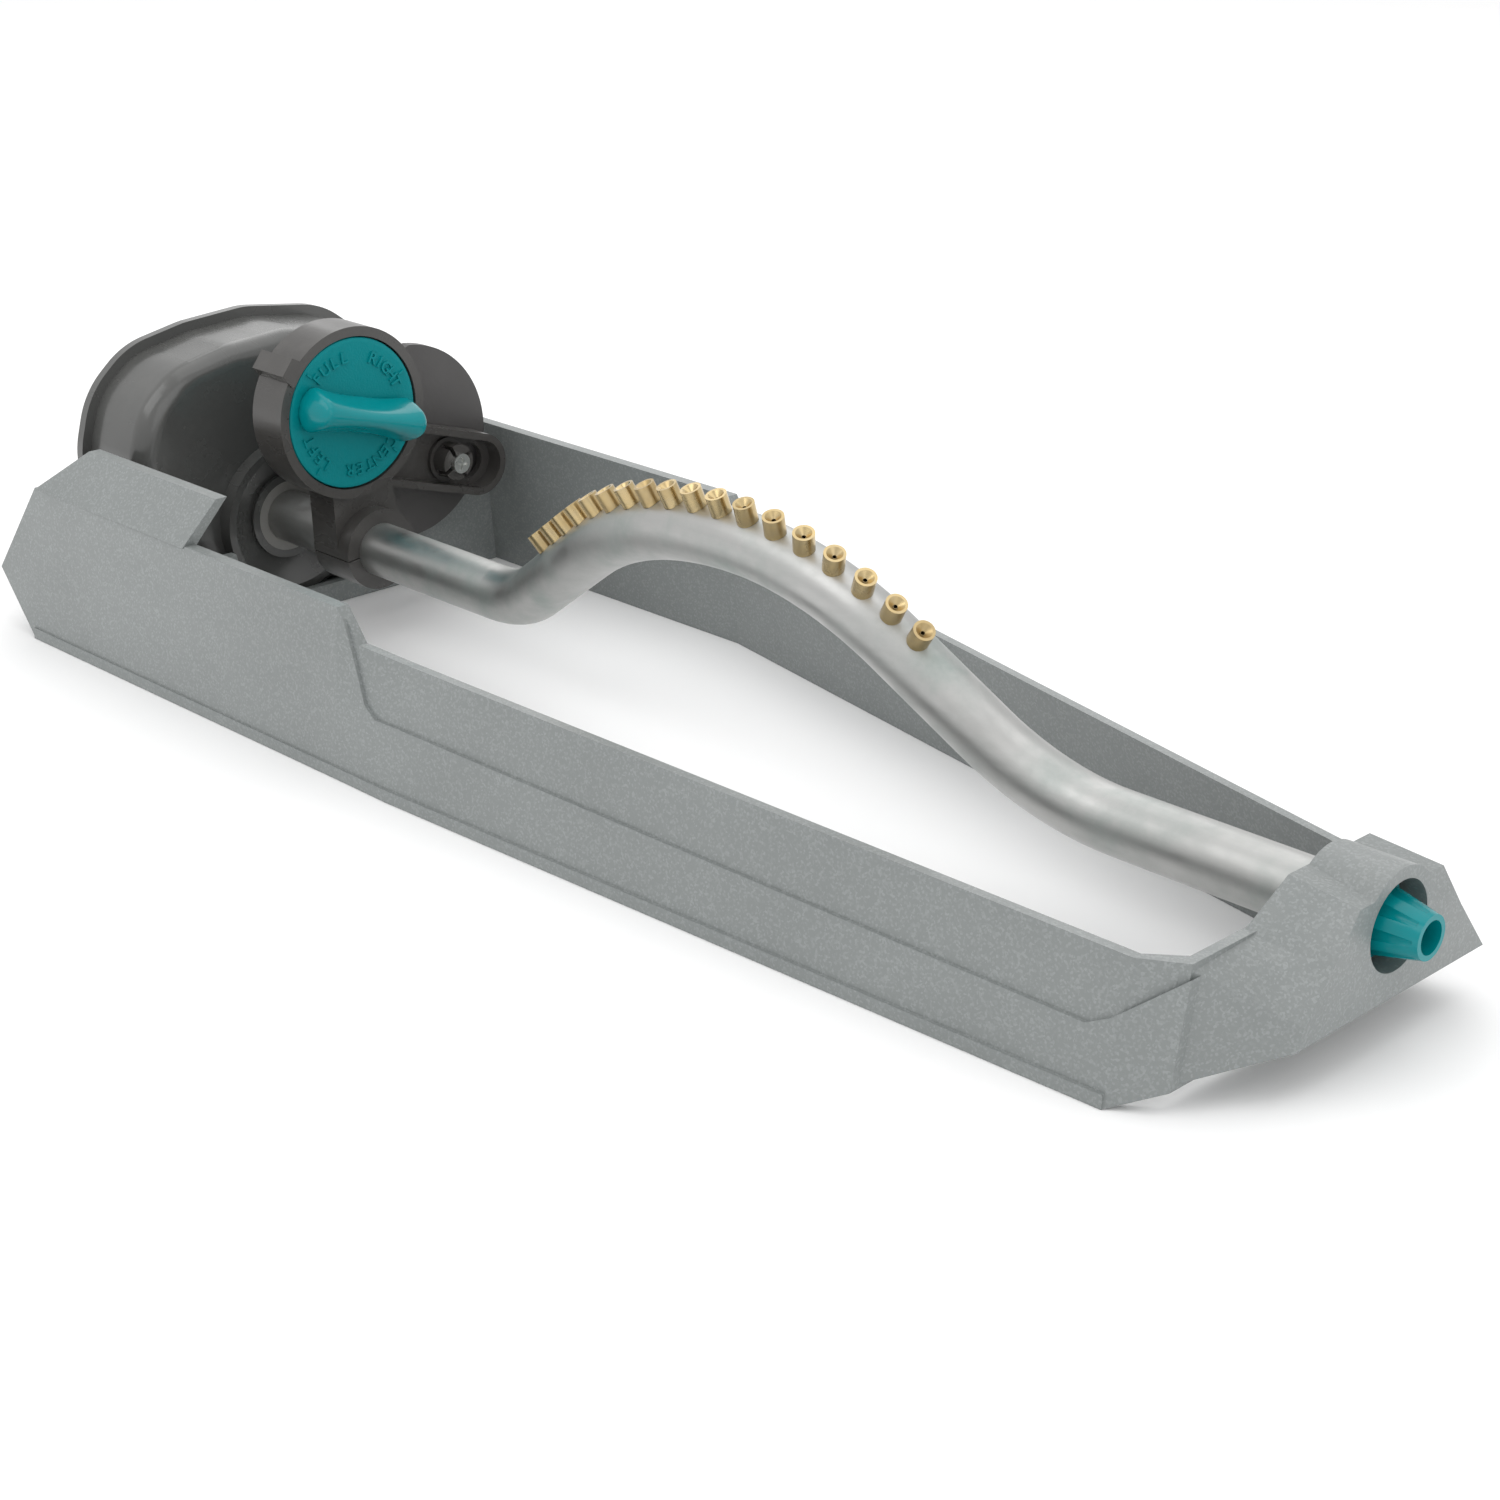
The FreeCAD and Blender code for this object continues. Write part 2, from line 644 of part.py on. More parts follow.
# ---------------------------------------------------------------- gears
def involute_outline(teeth, bore):
    """Spur gear face with involute flanks, standard addendum and dedendum."""
    module = dim("gear_module")
    pitch = module * teeth / 2
    base = pitch * math.cos(math.radians(20))
    outer = pitch + module
    root = pitch - 1.25 * module
    half = math.pi / (2 * teeth) + math.tan(math.radians(20)) - math.radians(20)

    def flank(radius):
        angle = math.acos(min(1, base / radius))
        return math.tan(angle) - angle

    start = max(base, root)
    steps = [start + (outer - start) * i / 6 for i in range(7)]
    points = []
    for tooth in range(teeth):
        middle = 2 * math.pi * tooth / teeth
        rise = [(r, middle - half + flank(r)) for r in steps]
        fall = [(r, middle + half - flank(r)) for r in reversed(steps)]
        gap = 2 * math.pi / teeth
        points.append((root, middle - half - 0.1 * (gap - 2 * half)))
        points += rise + fall
        points.append((root, middle + half + 0.1 * (gap - 2 * half)))
    wire_points = [Vector(0, r * math.cos(a), r * math.sin(a)) for r, a in points]
    face = face_of(wire_points)
    hole = Part.Face(Part.Wire([Part.makeCircle(bore, Vector(0, 0, 0), X_AXIS)]))
    return face.cut(hole)


def gear(teeth, bore, low, high, place, turn):
    """Spur gear along X between two X values, turned about its own axis in degrees."""
    shape = involute_outline(teeth, bore).extrude(Vector(high - low, 0, 0))
    shape.rotate(Vector(0, 0, 0), X_AXIS, turn)
    shape.translate(Vector(low, place[0], place[1]))
    return shape


def centre_distance(first, second):
    """Working distance of two gears with the backlash gap."""
    return dim("gear_module") * (first + second) / 2 + dim("centre_gap")


def step_from(place, distance, angle):
    """Point at a distance and angle in the YZ plane."""
    turn = math.radians(angle)
    return (place[0] + distance * math.cos(turn), place[1] + distance * math.sin(turn))


def gear_places():
    """Centres of output gear, second pair, first pair and turbine in the YZ plane."""
    wheel = int(dim("wheel_teeth"))
    pinion = int(dim("pinion_teeth"))
    crank = (dim("crank_y"), dim("crank_z"))
    second = step_from(crank, centre_distance(int(dim("output_teeth")), pinion), dim("first_angle"))
    first = step_from(second, centre_distance(wheel, pinion), dim("second_angle"))
    turbine = step_from(first, centre_distance(wheel, pinion), dim("third_angle"))
    return {"crank": crank, "second": second, "first": first, "turbine": turbine}


def layer(index):
    """Low and high X of one gear layer."""
    low = dim("first_layer_x") + index * dim("layer_pitch")
    return low, low + dim("gear_face")


def mesh_turn(driver_teeth, driver_turn, driven_teeth, angle):
    """Turn of a driven gear so that its gap faces a tooth of the driver.

    angle points from the driver centre to the driven centre.
    """
    phase = (angle - driver_turn) * driver_teeth / 360.0
    fraction = phase - math.floor(phase)
    back = angle + 180
    return back + (fraction + 0.5) * 360.0 / driven_teeth


def gear_turns():
    """Resting turn of every gear so that all pairs are in mesh."""
    wheel = int(dim("wheel_teeth"))
    pinion = int(dim("pinion_teeth"))
    output = int(dim("output_teeth"))
    second_pinion = mesh_turn(output, 0, pinion, dim("first_angle"))
    first_pinion = mesh_turn(wheel, 0, pinion, dim("second_angle"))
    turbine = mesh_turn(wheel, 0, pinion, dim("third_angle"))
    return {"second_pinion": second_pinion, "first_pinion": first_pinion, "turbine": turbine}


def compound_gear(name, wheel_layer):
    """Large wheel with the small pinion moulded on the next layer."""
    place = gear_places()[name]
    turn = gear_turns()[name + "_pinion"]
    bore = dim("gear_pin_radius") + dim("gear_bore_fit")
    low, high = layer(wheel_layer)
    next_low, next_high = layer(wheel_layer + 1)
    wheel = gear(int(dim("wheel_teeth")), bore, low, high, place, 0)
    pinion = gear(int(dim("pinion_teeth")), bore, high, next_high, place, turn)
    hub = x_rod(bore + 1.5, low, next_high, *place).cut(x_rod(bore, low - 1, next_high + 1, *place))
    return wheel.fuse(pinion).fuse(hub).removeSplitter()


def turbine_wheel():
    """Turbine rotor with straight blades in the rear chamber."""
    place = gear_places()["turbine"]
    high = dim("plate_back_x") - 1.2
    low = high - dim("turbine_length")
    hub = x_rod(4, low, high, *place)
    web = x_rod(dim("turbine_radius") - 3, low, low + 1.2, *place)
    blades = []
    count = int(dim("turbine_blades"))
    for i in range(count):
        blade = Part.makeBox(high - low, dim("turbine_radius") - 3.3, 0.9)
        blade.translate(Vector(low, 3.3, -0.45))
        blade.rotate(Vector(0, 0, 0), X_AXIS, i * 360.0 / count)
        blade.translate(Vector(0, place[0], place[1]))
        blades.append(blade)
    shape = hub.multiFuse([web] + blades)
    return shape.cut(x_rod(dim("turbine_shaft_radius"), low - 1, high + 1, *place))


def turbine_shaft():
    """Steel shaft through the mounting plate."""
    place = gear_places()["turbine"]
    return x_rod(dim("turbine_shaft_radius"), rear_wall_x() - 1, layer(0)[1], *place)


def turbine_pinion():
    """Small gear pressed on the front end of the turbine shaft."""
    place = gear_places()["turbine"]
    low, high = layer(0)
    turn = gear_turns()["turbine"]
    bore = dim("turbine_shaft_radius")
    return gear(int(dim("pinion_teeth")), bore, low, high, place, turn)


def output_gear():
    """Large gear pressed on the output shaft."""
    place = gear_places()["crank"]
    low, high = layer(2)
    shape = gear(int(dim("output_teeth")), dim("output_shaft_radius"), low, high, place, 0)
    hub = x_rod(dim("output_shaft_radius") + 2.5, low, high, *place)
    return shape.fuse(hub.cut(x_rod(dim("output_shaft_radius"), low - 1, high + 1, *place)))


def output_shaft():
    """Steel shaft from the mounting plate through the front wall to the crank disc."""
    place = gear_places()["crank"]
    plate_front = dim("plate_back_x") + dim("plate_thickness")
    end = dim("disc_front_x") - 0.8
    return x_rod(dim("output_shaft_radius"), plate_front - 1, end, *place)


def jet_ring():
    """Ring around the turbine with slanted water jets."""
    place = gear_places()["turbine"]
    high = dim("plate_back_x") - 0.4
    low = high - dim("turbine_length") - 1
    ring_shape = x_rod(dim("jet_ring_outer"), low, high, *place)
    ring_shape = ring_shape.cut(x_rod(dim("jet_ring_inner"), low - 1, high + 1, *place))
    for i in range(4):
        slot = Part.makeBox(3, 6, 1.4)
        slot.translate(Vector(low + 3, dim("jet_ring_inner") - 2, -0.7))
        slot.rotate(Vector(0, dim("jet_ring_inner"), 0), X_AXIS, 35)
        slot.rotate(Vector(0, 0, 0), X_AXIS, 45 + 90 * i)
        slot.translate(Vector(0, place[0], place[1]))
        ring_shape = ring_shape.cut(slot)
    return ring_shape


def rear_wall_x():
    """Inner face of the rear wall of the turbine chamber."""
    return dim("plate_back_x") - dim("rear_depth") + dim("case_wall")


# ---------------------------------------------------------------- motor housing
def case_outline(inset):
    """YZ outline of the front housing; a positive inset gives the inside."""
    return [
        (-50 + inset, 5 + inset), (-50 + inset, 55), (-45.5 + inset, 70 - 0.3 * inset),
        (-33 + 0.5 * inset, 80 - inset), (-14, 84 - inset), (8, 85.5 - inset),
        (36 - 0.4 * inset, 81.5 - inset), (52 - inset, 69 - 0.6 * inset),
        (57 - inset, 52), (57 - inset, 5 + inset),
    ]


def case_prism(inset, low, high):
    """Front housing outline with its upper corners rounded off, from one X to another."""
    block = prism_along_x(case_outline(inset), low, high)
    return softened(
        block, dim("case_round") - inset,
        lambda e: e.BoundBox.XLength > high - low - 0.01 and e.BoundBox.ZMin > 50,
    )


def rear_outline(inset):
    """YZ outline of the turbine chamber behind the mounting plate."""
    half = dim("rear_half_width") - inset
    low = dim("rear_low") + inset
    top = dim("rear_top") - inset
    cut = 9
    return [
        (-half, low), (half, low), (half, top - cut), (half - cut, top),
        (-half + cut, top), (-half, top - cut),
    ]


def softened(shape, radius, chosen):
    """Fillet the edges picked by a test; the plain shape is kept if none match."""
    edges = [edge for edge in shape.Edges if chosen(edge)]
    return shape.makeFillet(radius, edges) if edges else shape


def motor_housing():
    """Front housing: rounded shell, nose ring, tube sleeve, pin bosses and shaft bearing."""
    back = dim("plate_back_x") + dim("plate_thickness")
    front = dim("front_face_x")
    wall = dim("case_wall")
    height = dim("axis_height")
    outer = case_prism(0, back, front)
    outer = softened(
        outer, 6,
        lambda e: abs(e.BoundBox.XMin - front) < 0.01 and e.BoundBox.ZMin > 5.1,
    )
    outer = outer.fuse(x_rod(dim("nose_radius"), front - 8, front + dim("nose_length"), 0, height))
    dish = Part.makeCone(
        12, dim("nose_radius") - dim("nose_lip"), dim("nose_length"),
        Vector(front, 0, height), X_AXIS,
    )
    outer = outer.cut(dish)
    outer = outer.fuse(x_rod(dim("bush_radius") + 2.4, front - 1, front + 2, 0, height))
    cavity = case_prism(wall, back - 1, front - wall)
    below = Part.makeBox(80, 200, 40, Vector(back - 10, -100, dim("deck_height") + 0.2 - 40))
    shape = outer.cut(cavity).cut(below)
    places = gear_places()
    adds = [x_rod(dim("sleeve_radius"), back, front - 1, 0, height)]
    for name in ("first", "second"):
        adds.append(x_rod(3.2, layer(2)[1] + 1 if name == "second" else layer(1)[1] + 1,
                          front - wall + 0.5, *places[name]))
    adds.append(x_rod(6, layer(2)[1] + 1, front + 4, *places["crank"]))
    for y, z in screw_places():
        adds.append(x_rod(3.6, back, front - wall + 0.5, y, z))
    shape = shape.multiFuse(adds)
    cuts = [
        x_rod(dim("sleeve_bore"), back - 1, front + 3 - dim("bush_length"), 0, height),
        x_rod(dim("bush_radius"), front + 2 - dim("bush_length"), front + 6, 0, height),
        x_rod(dim("output_shaft_radius") + dim("running_fit"), back, front + 5, *places["crank"]),
    ]
    for name in ("first", "second"):
        cuts.append(x_rod(dim("gear_pin_radius"), back, front - wall + 0.2, *places[name]))
    for y, z in screw_places():
        cuts.append(x_rod(dim("screw_radius"), back - 1, back + 16, y, z))
    for tool in cuts:
        shape = shape.cut(tool)
    for y, z in deck_screw_places():
        block = Part.makeBox(12, 12, 9, Vector(deck_screw_x() - 6, y - 6, dim("deck_height") + 0.2))
        hole = Part.makeCylinder(dim("screw_radius"), 11, Vector(deck_screw_x(), y, 0))
        shape = shape.fuse(block).cut(hole)
    return shape


def screw_places():
    """YZ places of the screws through the mounting plate."""
    return [(-44, 10.5), (-38, 68), (45, 66.5), (51, 12)]


def end_plate():
    """Mounting plate with the raised rim, shaft bores and water passage."""
    back = dim("plate_back_x")
    front = back + dim("plate_thickness")
    height = dim("axis_height")
    places = gear_places()
    plate = case_prism(-dim("plate_rim"), back, front)
    floor = Part.makeBox(40, 200, 40, Vector(back - 10, -100, dim("deck_height") + 0.2 - 40))
    plate = plate.cut(floor)
    cuts = [
        x_rod(dim("sleeve_bore") - 1, back - 1, front + 1, 0, height),
        x_rod(dim("turbine_shaft_radius") + dim("running_fit"), back - 1, front + 1,
              *places["turbine"]),
        x_rod(dim("output_shaft_radius") + dim("running_fit"), front - 1.4, front + 1,
              *places["crank"]),
        x_rod(dim("gear_pin_radius"), back + 1, front + 1, *places["first"]),
        x_rod(dim("gear_pin_radius"), back + 1, front + 1, *places["second"]),
    ]
    for y, z in screw_places():
        cuts.append(x_rod(dim("screw_radius") + 0.25, back - 1, front + 1, y, z))
    for tool in cuts:
        plate = plate.cut(tool)
    return plate


def rear_shell():
    """Turbine chamber with the hose neck at its back."""
    front = dim("plate_back_x")
    back = front - dim("rear_depth")
    height = dim("axis_height")
    shape = prism_along_x(rear_outline(0), back, front)
    shape = shape.cut(prism_along_x(rear_outline(dim("case_wall")), rear_wall_x(), front + 1))
    neck_end = back - dim("neck_length")
    shape = shape.fuse(x_rod(dim("neck_radius"), neck_end, back + 1, 0, height))
    shape = shape.fuse(x_rod(dim("neck_lip"), neck_end, neck_end + 1.6, 0, height))
    shape = shape.cut(x_rod(dim("neck_bore"), neck_end - 1, back + 4, 0, height))
    place = gear_places()["turbine"]
    boss = x_rod(3.2, rear_wall_x() - 1.2, rear_wall_x() + 0.8, *place)
    pivot = x_rod(dim("turbine_shaft_radius") + dim("running_fit"), rear_wall_x() - 1.4,
                  rear_wall_x() + 2, *place)
    return shape.fuse(boss).cut(pivot)


def plate_screws():
    """Screws through the mounting plate into the housing."""
    made = []
    back = dim("plate_back_x")
    for y, z in screw_places():
        shank = x_rod(dim("screw_radius"), back - 0.5, back + 15, y, z)
        head = x_rod(dim("screw_head"), back - 2, back, y, z)
        cross = Part.makeBox(1.2, 0.8, 4, Vector(back - 2.2, y - 0.4, z - 2))
        other = Part.makeBox(1.2, 4, 0.8, Vector(back - 2.2, y - 2, z - 0.4))
        made.append(shank.fuse(head).cut(cross).cut(other))
    return Part.makeCompound(made)


def deck_screws():
    """Screws from below the deck into the motor housing."""
    made = []
    for y, z in deck_screw_places():
        x = deck_screw_x()
        shank = Part.makeCylinder(dim("screw_radius"), 9, Vector(x, y, z - 0.2))
        head = Part.makeCylinder(dim("screw_head"), 1.2, Vector(x, y, z - 1.2))
        slot = Part.makeBox(4, 0.8, 0.7, Vector(x - 2, y - 0.4, z - 1.3))
        made.append(shank.fuse(head).cut(slot))
    return Part.makeCompound(made)


def gear_pins():
    """Fixed steel pins that carry the two compound gears."""
    places = gear_places()
    low = dim("plate_back_x") + 1
    high = dim("front_face_x") - dim("case_wall") + 0.2
    return Part.makeCompound(
        [x_rod(dim("gear_pin_radius"), low, high, *places[n]) for n in ("first", "second")]
    )


def o_ring(x, inner, thickness, place):
    """Rubber ring around an axis along X."""
    torus = Part.makeTorus(inner + thickness, thickness, Vector(x, place[0], place[1]), X_AXIS)
    return torus


# ---------------------------------------------------------------- lever, dial and link
def lift(body, angle):
    """Place a body drawn around the origin on the swing axis, turned about X."""
    body.Placement = Placement(Vector(0, 0, 0), Rotation(X_AXIS, evaluate(angle)))
    bind(body, "Placement.Base.x", "origin_shift")
    bind(body, "Placement.Base.z", "axis_height")
    bind(body, "Placement.Rotation.Angle", angle)


def direction(angle, reach):
    """Sketch point at a reach and angle from the dial centre, in formulas."""
    return (
        "( %s ) * cos ( %s )" % (reach, angle),
        "lever_length + ( %s ) * sin ( %s )" % (reach, angle),
    )


def tube_lever():
    """Ring, neck and upper half of the clamp that drives the tube."""
    body = new_body("tube_lever")
    width = "ring_front_x - ring_back_x"
    neck = sketch_on(body, "lever_neck", "YZ_Plane", "ring_back_x")
    half = "neck_width / 2"
    add_polygon(neck, [
        ("- " + half, "1"), (half, "1"), ("0.8 * neck_width / 2", "lever_length - ring_radius / 2"),
        ("- 0.8 * neck_width / 2", "lever_length - ring_radius / 2"),
    ])
    pad(body, neck, width + " - 2")
    head = sketch_on(body, "lever_ring", "YZ_Plane", "ring_back_x")
    add_circle(head, "0", "lever_length", "ring_radius")
    pad(body, head, width)
    clamp = sketch_on(body, "lever_clamp", "YZ_Plane", "ring_back_x")
    add_circle(clamp, "0", "0", "clamp_radius")
    pad(body, clamp, "clamp_length")
    marker = sketch_on(body, "lever_marker", "YZ_Plane", "ring_back_x")
    points = [("ring_radius - 2", "- 4"), ("ring_radius + 3.2", "- 3"),
              ("ring_radius + 3.2", "3"), ("ring_radius - 2", "4")]
    turned = []
    for out, across in points:
        turned.append((
            "- ( %s ) * cos ( marker_angle ) - ( %s ) * sin ( marker_angle )" % (out, across),
            "lever_length + ( %s ) * sin ( marker_angle ) - ( %s ) * cos ( marker_angle )"
            % (out, across),
        ))
    add_polygon(marker, turned)
    pad(body, marker, width + " + 1")
    split = sketch_on(body, "lever_split", "YZ_Plane", "ring_back_x + clamp_length + 1")
    add_polygon(split, [("- 20", "- 20"), ("20", "- 20"), ("20", "0.15"), ("- 20", "0.15")])
    pocket(body, split, "clamp_length + 2")
    bore = sketch_on(body, "lever_bore", "YZ_Plane", "ring_back_x + clamp_length + 1")
    add_circle(bore, "0", "0", "tube_radius")
    pocket(body, bore, "clamp_length + 2")
    seat = sketch_on(body, "lever_dial_seat", "YZ_Plane", "ring_front_x + 1.5")
    add_circle(seat, "0", "lever_length", "dial_pocket")
    pocket(body, seat, "dial_depth + 1.5")
    hole = sketch_on(body, "lever_hub_hole", "YZ_Plane", "ring_front_x + 1.5")
    add_circle(hole, "0", "lever_length", "hub_hole")
    pocket(body, hole, width + " + 3")
    lift(body, "lever_angle")
    return body


def clamp_cap():
    """Lower half of the tube clamp."""
    body = new_body("clamp_cap")
    outline = sketch_on(body, "cap_outline", "YZ_Plane", "ring_back_x")
    add_circle(outline, "0", "0", "clamp_radius")
    pad(body, outline, "clamp_length")
    split = sketch_on(body, "cap_split", "YZ_Plane", "ring_back_x + clamp_length + 1")
    add_polygon(split, [("- 20", "- 0.15"), ("20", "- 0.15"), ("20", "20"), ("- 20", "20")])
    pocket(body, split, "clamp_length + 2")
    bore = sketch_on(body, "cap_bore", "YZ_Plane", "ring_back_x + clamp_length + 1")
    add_circle(bore, "0", "0", "tube_radius")
    pocket(body, bore, "clamp_length + 2")
    lift(body, "lever_angle")
    return body


def dial():
    """Turning dial with its grip and the hub that holds the eccentric pin."""
    body = new_body("dial")
    face = sketch_on(body, "dial_face", "YZ_Plane", "ring_front_x - dial_depth + 0.4")
    add_circle(face, "0", "lever_length", "dial_radius")
    pad(body, face, "dial_depth - 0.6")
    hub = sketch_on(body, "dial_hub_outline", "YZ_Plane", "ring_back_x - 1.4")
    add_circle(hub, "0", "lever_length", "dial_hub")
    pad(body, hub, "ring_front_x - dial_depth + 0.4 - ring_back_x + 1.4 + 0.5")
    grip = sketch_on(body, "dial_grip", "YZ_Plane", "ring_front_x - 0.4")
    angle = "handle_angle - lever_angle"
    corners = [
        ("handle_length / 2", "- handle_width / 2 + 2"), ("handle_length / 2", "handle_width / 2 - 2"),
        ("handle_length / 2 - 3", "handle_width / 2"), ("0", "handle_waist / 2"),
        ("- handle_length / 2 + 3", "handle_width / 2"),
        ("- handle_length / 2", "handle_width / 2 - 2"),
        ("- handle_length / 2", "- handle_width / 2 + 2"),
        ("- handle_length / 2 + 3", "- handle_width / 2"), ("0", "- handle_waist / 2"),
        ("handle_length / 2 - 3", "- handle_width / 2"),
    ]
    turned = []
    for out, across in corners:
        turned.append((
            "( %s ) * cos ( %s ) - ( %s ) * sin ( %s )" % (out, angle, across, angle),
            "lever_length + ( %s ) * sin ( %s ) + ( %s ) * cos ( %s )" % (out, angle, across, angle),
        ))
    add_polygon(grip, turned)
    pad(body, grip, "handle_height + 0.2")
    hole = sketch_on(body, "dial_pin_hole", "YZ_Plane", "ring_front_x - dial_depth")
    add_circle(hole, "0", "lever_length - pin_offset", "pin_radius + running_fit")
    pocket(body, hole, "ring_front_x - dial_depth - ring_back_x + 3")
    lift(body, "lever_angle")
    return body


def lever_point(out):
    """YZ point on the lever's centre line at a distance from the swing axis."""
    turn = math.radians(dim("lever_angle"))
    return (-out * math.sin(turn), dim("axis_height") + out * math.cos(turn))


def dial_clip():
    """Snap ring behind the lever that keeps the dial in."""
    high = dim("ring_back_x") - 0.15
    low = high - dim("clip_thickness")
    place = lever_point(dim("lever_length"))
    hole = x_rod(dim("dial_hub"), low - 1, high + 1, *place)
    return x_rod(dim("clip_radius"), low, high, *place).cut(hole)


def pin_place():
    """Rest position of the eccentric pin: FULL puts it nearest the swing axis."""
    return lever_point(dim("lever_length") - dim("pin_offset"))


def boss_place():
    """Rest position of the pivot where the link turns on the crank's boss."""
    crank = (dim("crank_y"), dim("crank_z"))
    return step_from(crank, dim("crank_throw"), dim("crank_angle"))


def link_pin():
    """Pin in the link's eye; it ends just behind the dial, where the linkage is open."""
    place = pin_place()
    low = dim("link_back_x") - 0.2
    high = dim("ring_back_x") - 1.4 - dim("pivot_gap")
    web = dim("link_back_x") + dim("link_web")
    shoulder = x_rod(dim("pin_radius") + 2, web + 0.15, web + 1.3, *place)
    return x_rod(dim("pin_radius"), low, high, *place).fuse(shoulder)


def link_frame():
    """Length and angle in degrees of the line from link pin to boss."""
    pin = pin_place()
    boss = boss_place()
    span = (boss[0] - pin[0], boss[1] - pin[1])
    return math.hypot(*span), math.degrees(math.atan2(span[1], span[0]))


def obround(half, start, end, low, high):
    """Rounded bar along local Y between two X values."""
    box = Part.makeBox(high - low, end - start, 2 * half, Vector(low, start, -half))
    return box.fuse(x_rod(half, low, high, start, 0)).fuse(x_rod(half, low, high, end, 0))


def on_link(shape):
    """Move a shape drawn from the pin along local Y to the link's rest position."""
    placed = shape.copy()
    placed.rotate(Vector(0, 0, 0), X_AXIS, link_frame()[1])
    pin = pin_place()
    placed.translate(Vector(0, pin[0], pin[1]))
    return placed


def link_arm():
    """Channel-shaped link with a round eye and a long slot."""
    length = link_frame()[0]
    low = dim("link_back_x")
    high = low + dim("link_height")
    half = dim("link_half_width")
    tip = length + dim("link_tip_reach") - half
    shape = obround(half, 0, tip, low, high)
    inner = half - dim("link_wall")
    shape = shape.cut(obround(inner, 0, tip, low + dim("link_web"), high + 1))
    slot = obround(dim("slot_half_width"), length, length + dim("slot_reach"), low - 1, high)
    eye = x_rod(dim("pin_radius") + dim("running_fit"), low - 1, high, 0, 0)
    return on_link(shape.cut(slot).cut(eye))


def slot_boss():
    """Snap boss on the crank pin: four fingers, a shoulder over the link and a screw bore."""
    length = link_frame()[0]
    low = dim("link_back_x")
    radius = dim("slot_half_width") - 0.1
    web = low + dim("link_web")
    high = low + dim("link_height") + 1
    shape = x_rod(radius, low + 0.05, high, length, 0)
    shape = shape.fuse(x_rod(radius + 1.3, web + 0.12, web + 1.3, length, 0))
    shape = shape.cut(x_rod(dim("screw_radius"), low - 1, high + 1, length, 0))
    for turn in (45, 135):
        slit = Part.makeBox(5, 2 * radius + 1, 1.3, Vector(high - 4.6, -radius - 0.5, -0.65))
        slit.rotate(Vector(0, 0, 0), X_AXIS, turn)
        slit.translate(Vector(0, length, 0))
        shape = shape.cut(slit)
    return on_link(shape)


def boss_screw():
    """Cross-head screw in the snap boss."""
    length = link_frame()[0]
    low = dim("link_back_x")
    high = low + dim("link_height") + 1
    head = x_rod(dim("screw_head"), high, high + 1.8, length, 0)
    shape = x_rod(dim("screw_radius"), low + 0.5, high + 0.2, length, 0).fuse(head)
    for size in ((0.8, 4.0), (4.0, 0.8)):
        groove = Part.makeBox(1.2, size[0], size[1])
        groove.translate(Vector(high + 0.9, length - size[0] / 2, -size[1] / 2))
        shape = shape.cut(groove)
    return on_link(shape)


def crank_disc():
    """Crank disc with hub, flat, and the short crank pin on its front."""
    crank = (dim("crank_y"), dim("crank_z"))
    front = dim("disc_front_x")
    back = front - dim("disc_thickness")
    shape = x_rod(dim("disc_radius"), back, front, *crank)
    flat = Part.makeBox(20, 80, 20, Vector(-10, -40, 0.92 * dim("disc_radius")))
    flat.rotate(Vector(0, 0, 0), X_AXIS, 18)
    flat.translate(Vector(front, crank[0], crank[1]))
    shape = shape.cut(flat)
    shape = shape.fuse(x_rod(7, front - 11, front, *crank))
    shape = shape.cut(x_rod(dim("output_shaft_radius"), front - 20, front - 0.8, *crank))
    tip = dim("link_back_x") + 0.05
    return shape.fuse(x_rod(dim("crank_pin_radius"), back, tip, *boss_place()))


# ---------------------------------------------------------------- plug and hose coupling
def end_plug():
    """Fluted plug that closes the tube and lifts out for flushing."""
    start = dim("tube_end_x") + dim("seal_thickness")
    height = dim("axis_height")
    flange = x_rod(dim("plug_flange"), start, start + 2, 0, height)
    shank = x_rod(dim("plug_shank"), start - 9, start, 0, height)
    cone = Part.makeCone(
        dim("plug_radius"), dim("plug_tip_radius"), dim("plug_length"),
        Vector(start + 2, 0, height), X_AXIS,
    )
    shape = flange.fuse(shank).fuse(cone)
    count = int(dim("flute_count"))
    for i in range(count):
        flute = Part.makeCone(
            1.7, 1.1, dim("plug_length") - 1,
            Vector(start + 2.01, 0, dim("plug_radius") + 0.5), X_AXIS,
        )
        flute.rotate(Vector(start, 0, dim("plug_radius")), Vector(0, 1, 0), 9.4)
        flute.rotate(Vector(0, 0, 0), X_AXIS, i * 360.0 / count)
        flute.translate(Vector(0, 0, height))
        shape = shape.cut(flute)
    end = start + 2 + dim("plug_length")
    return shape.cut(x_rod(dim("recess_radius"), end - 8, end + 1, 0, height))


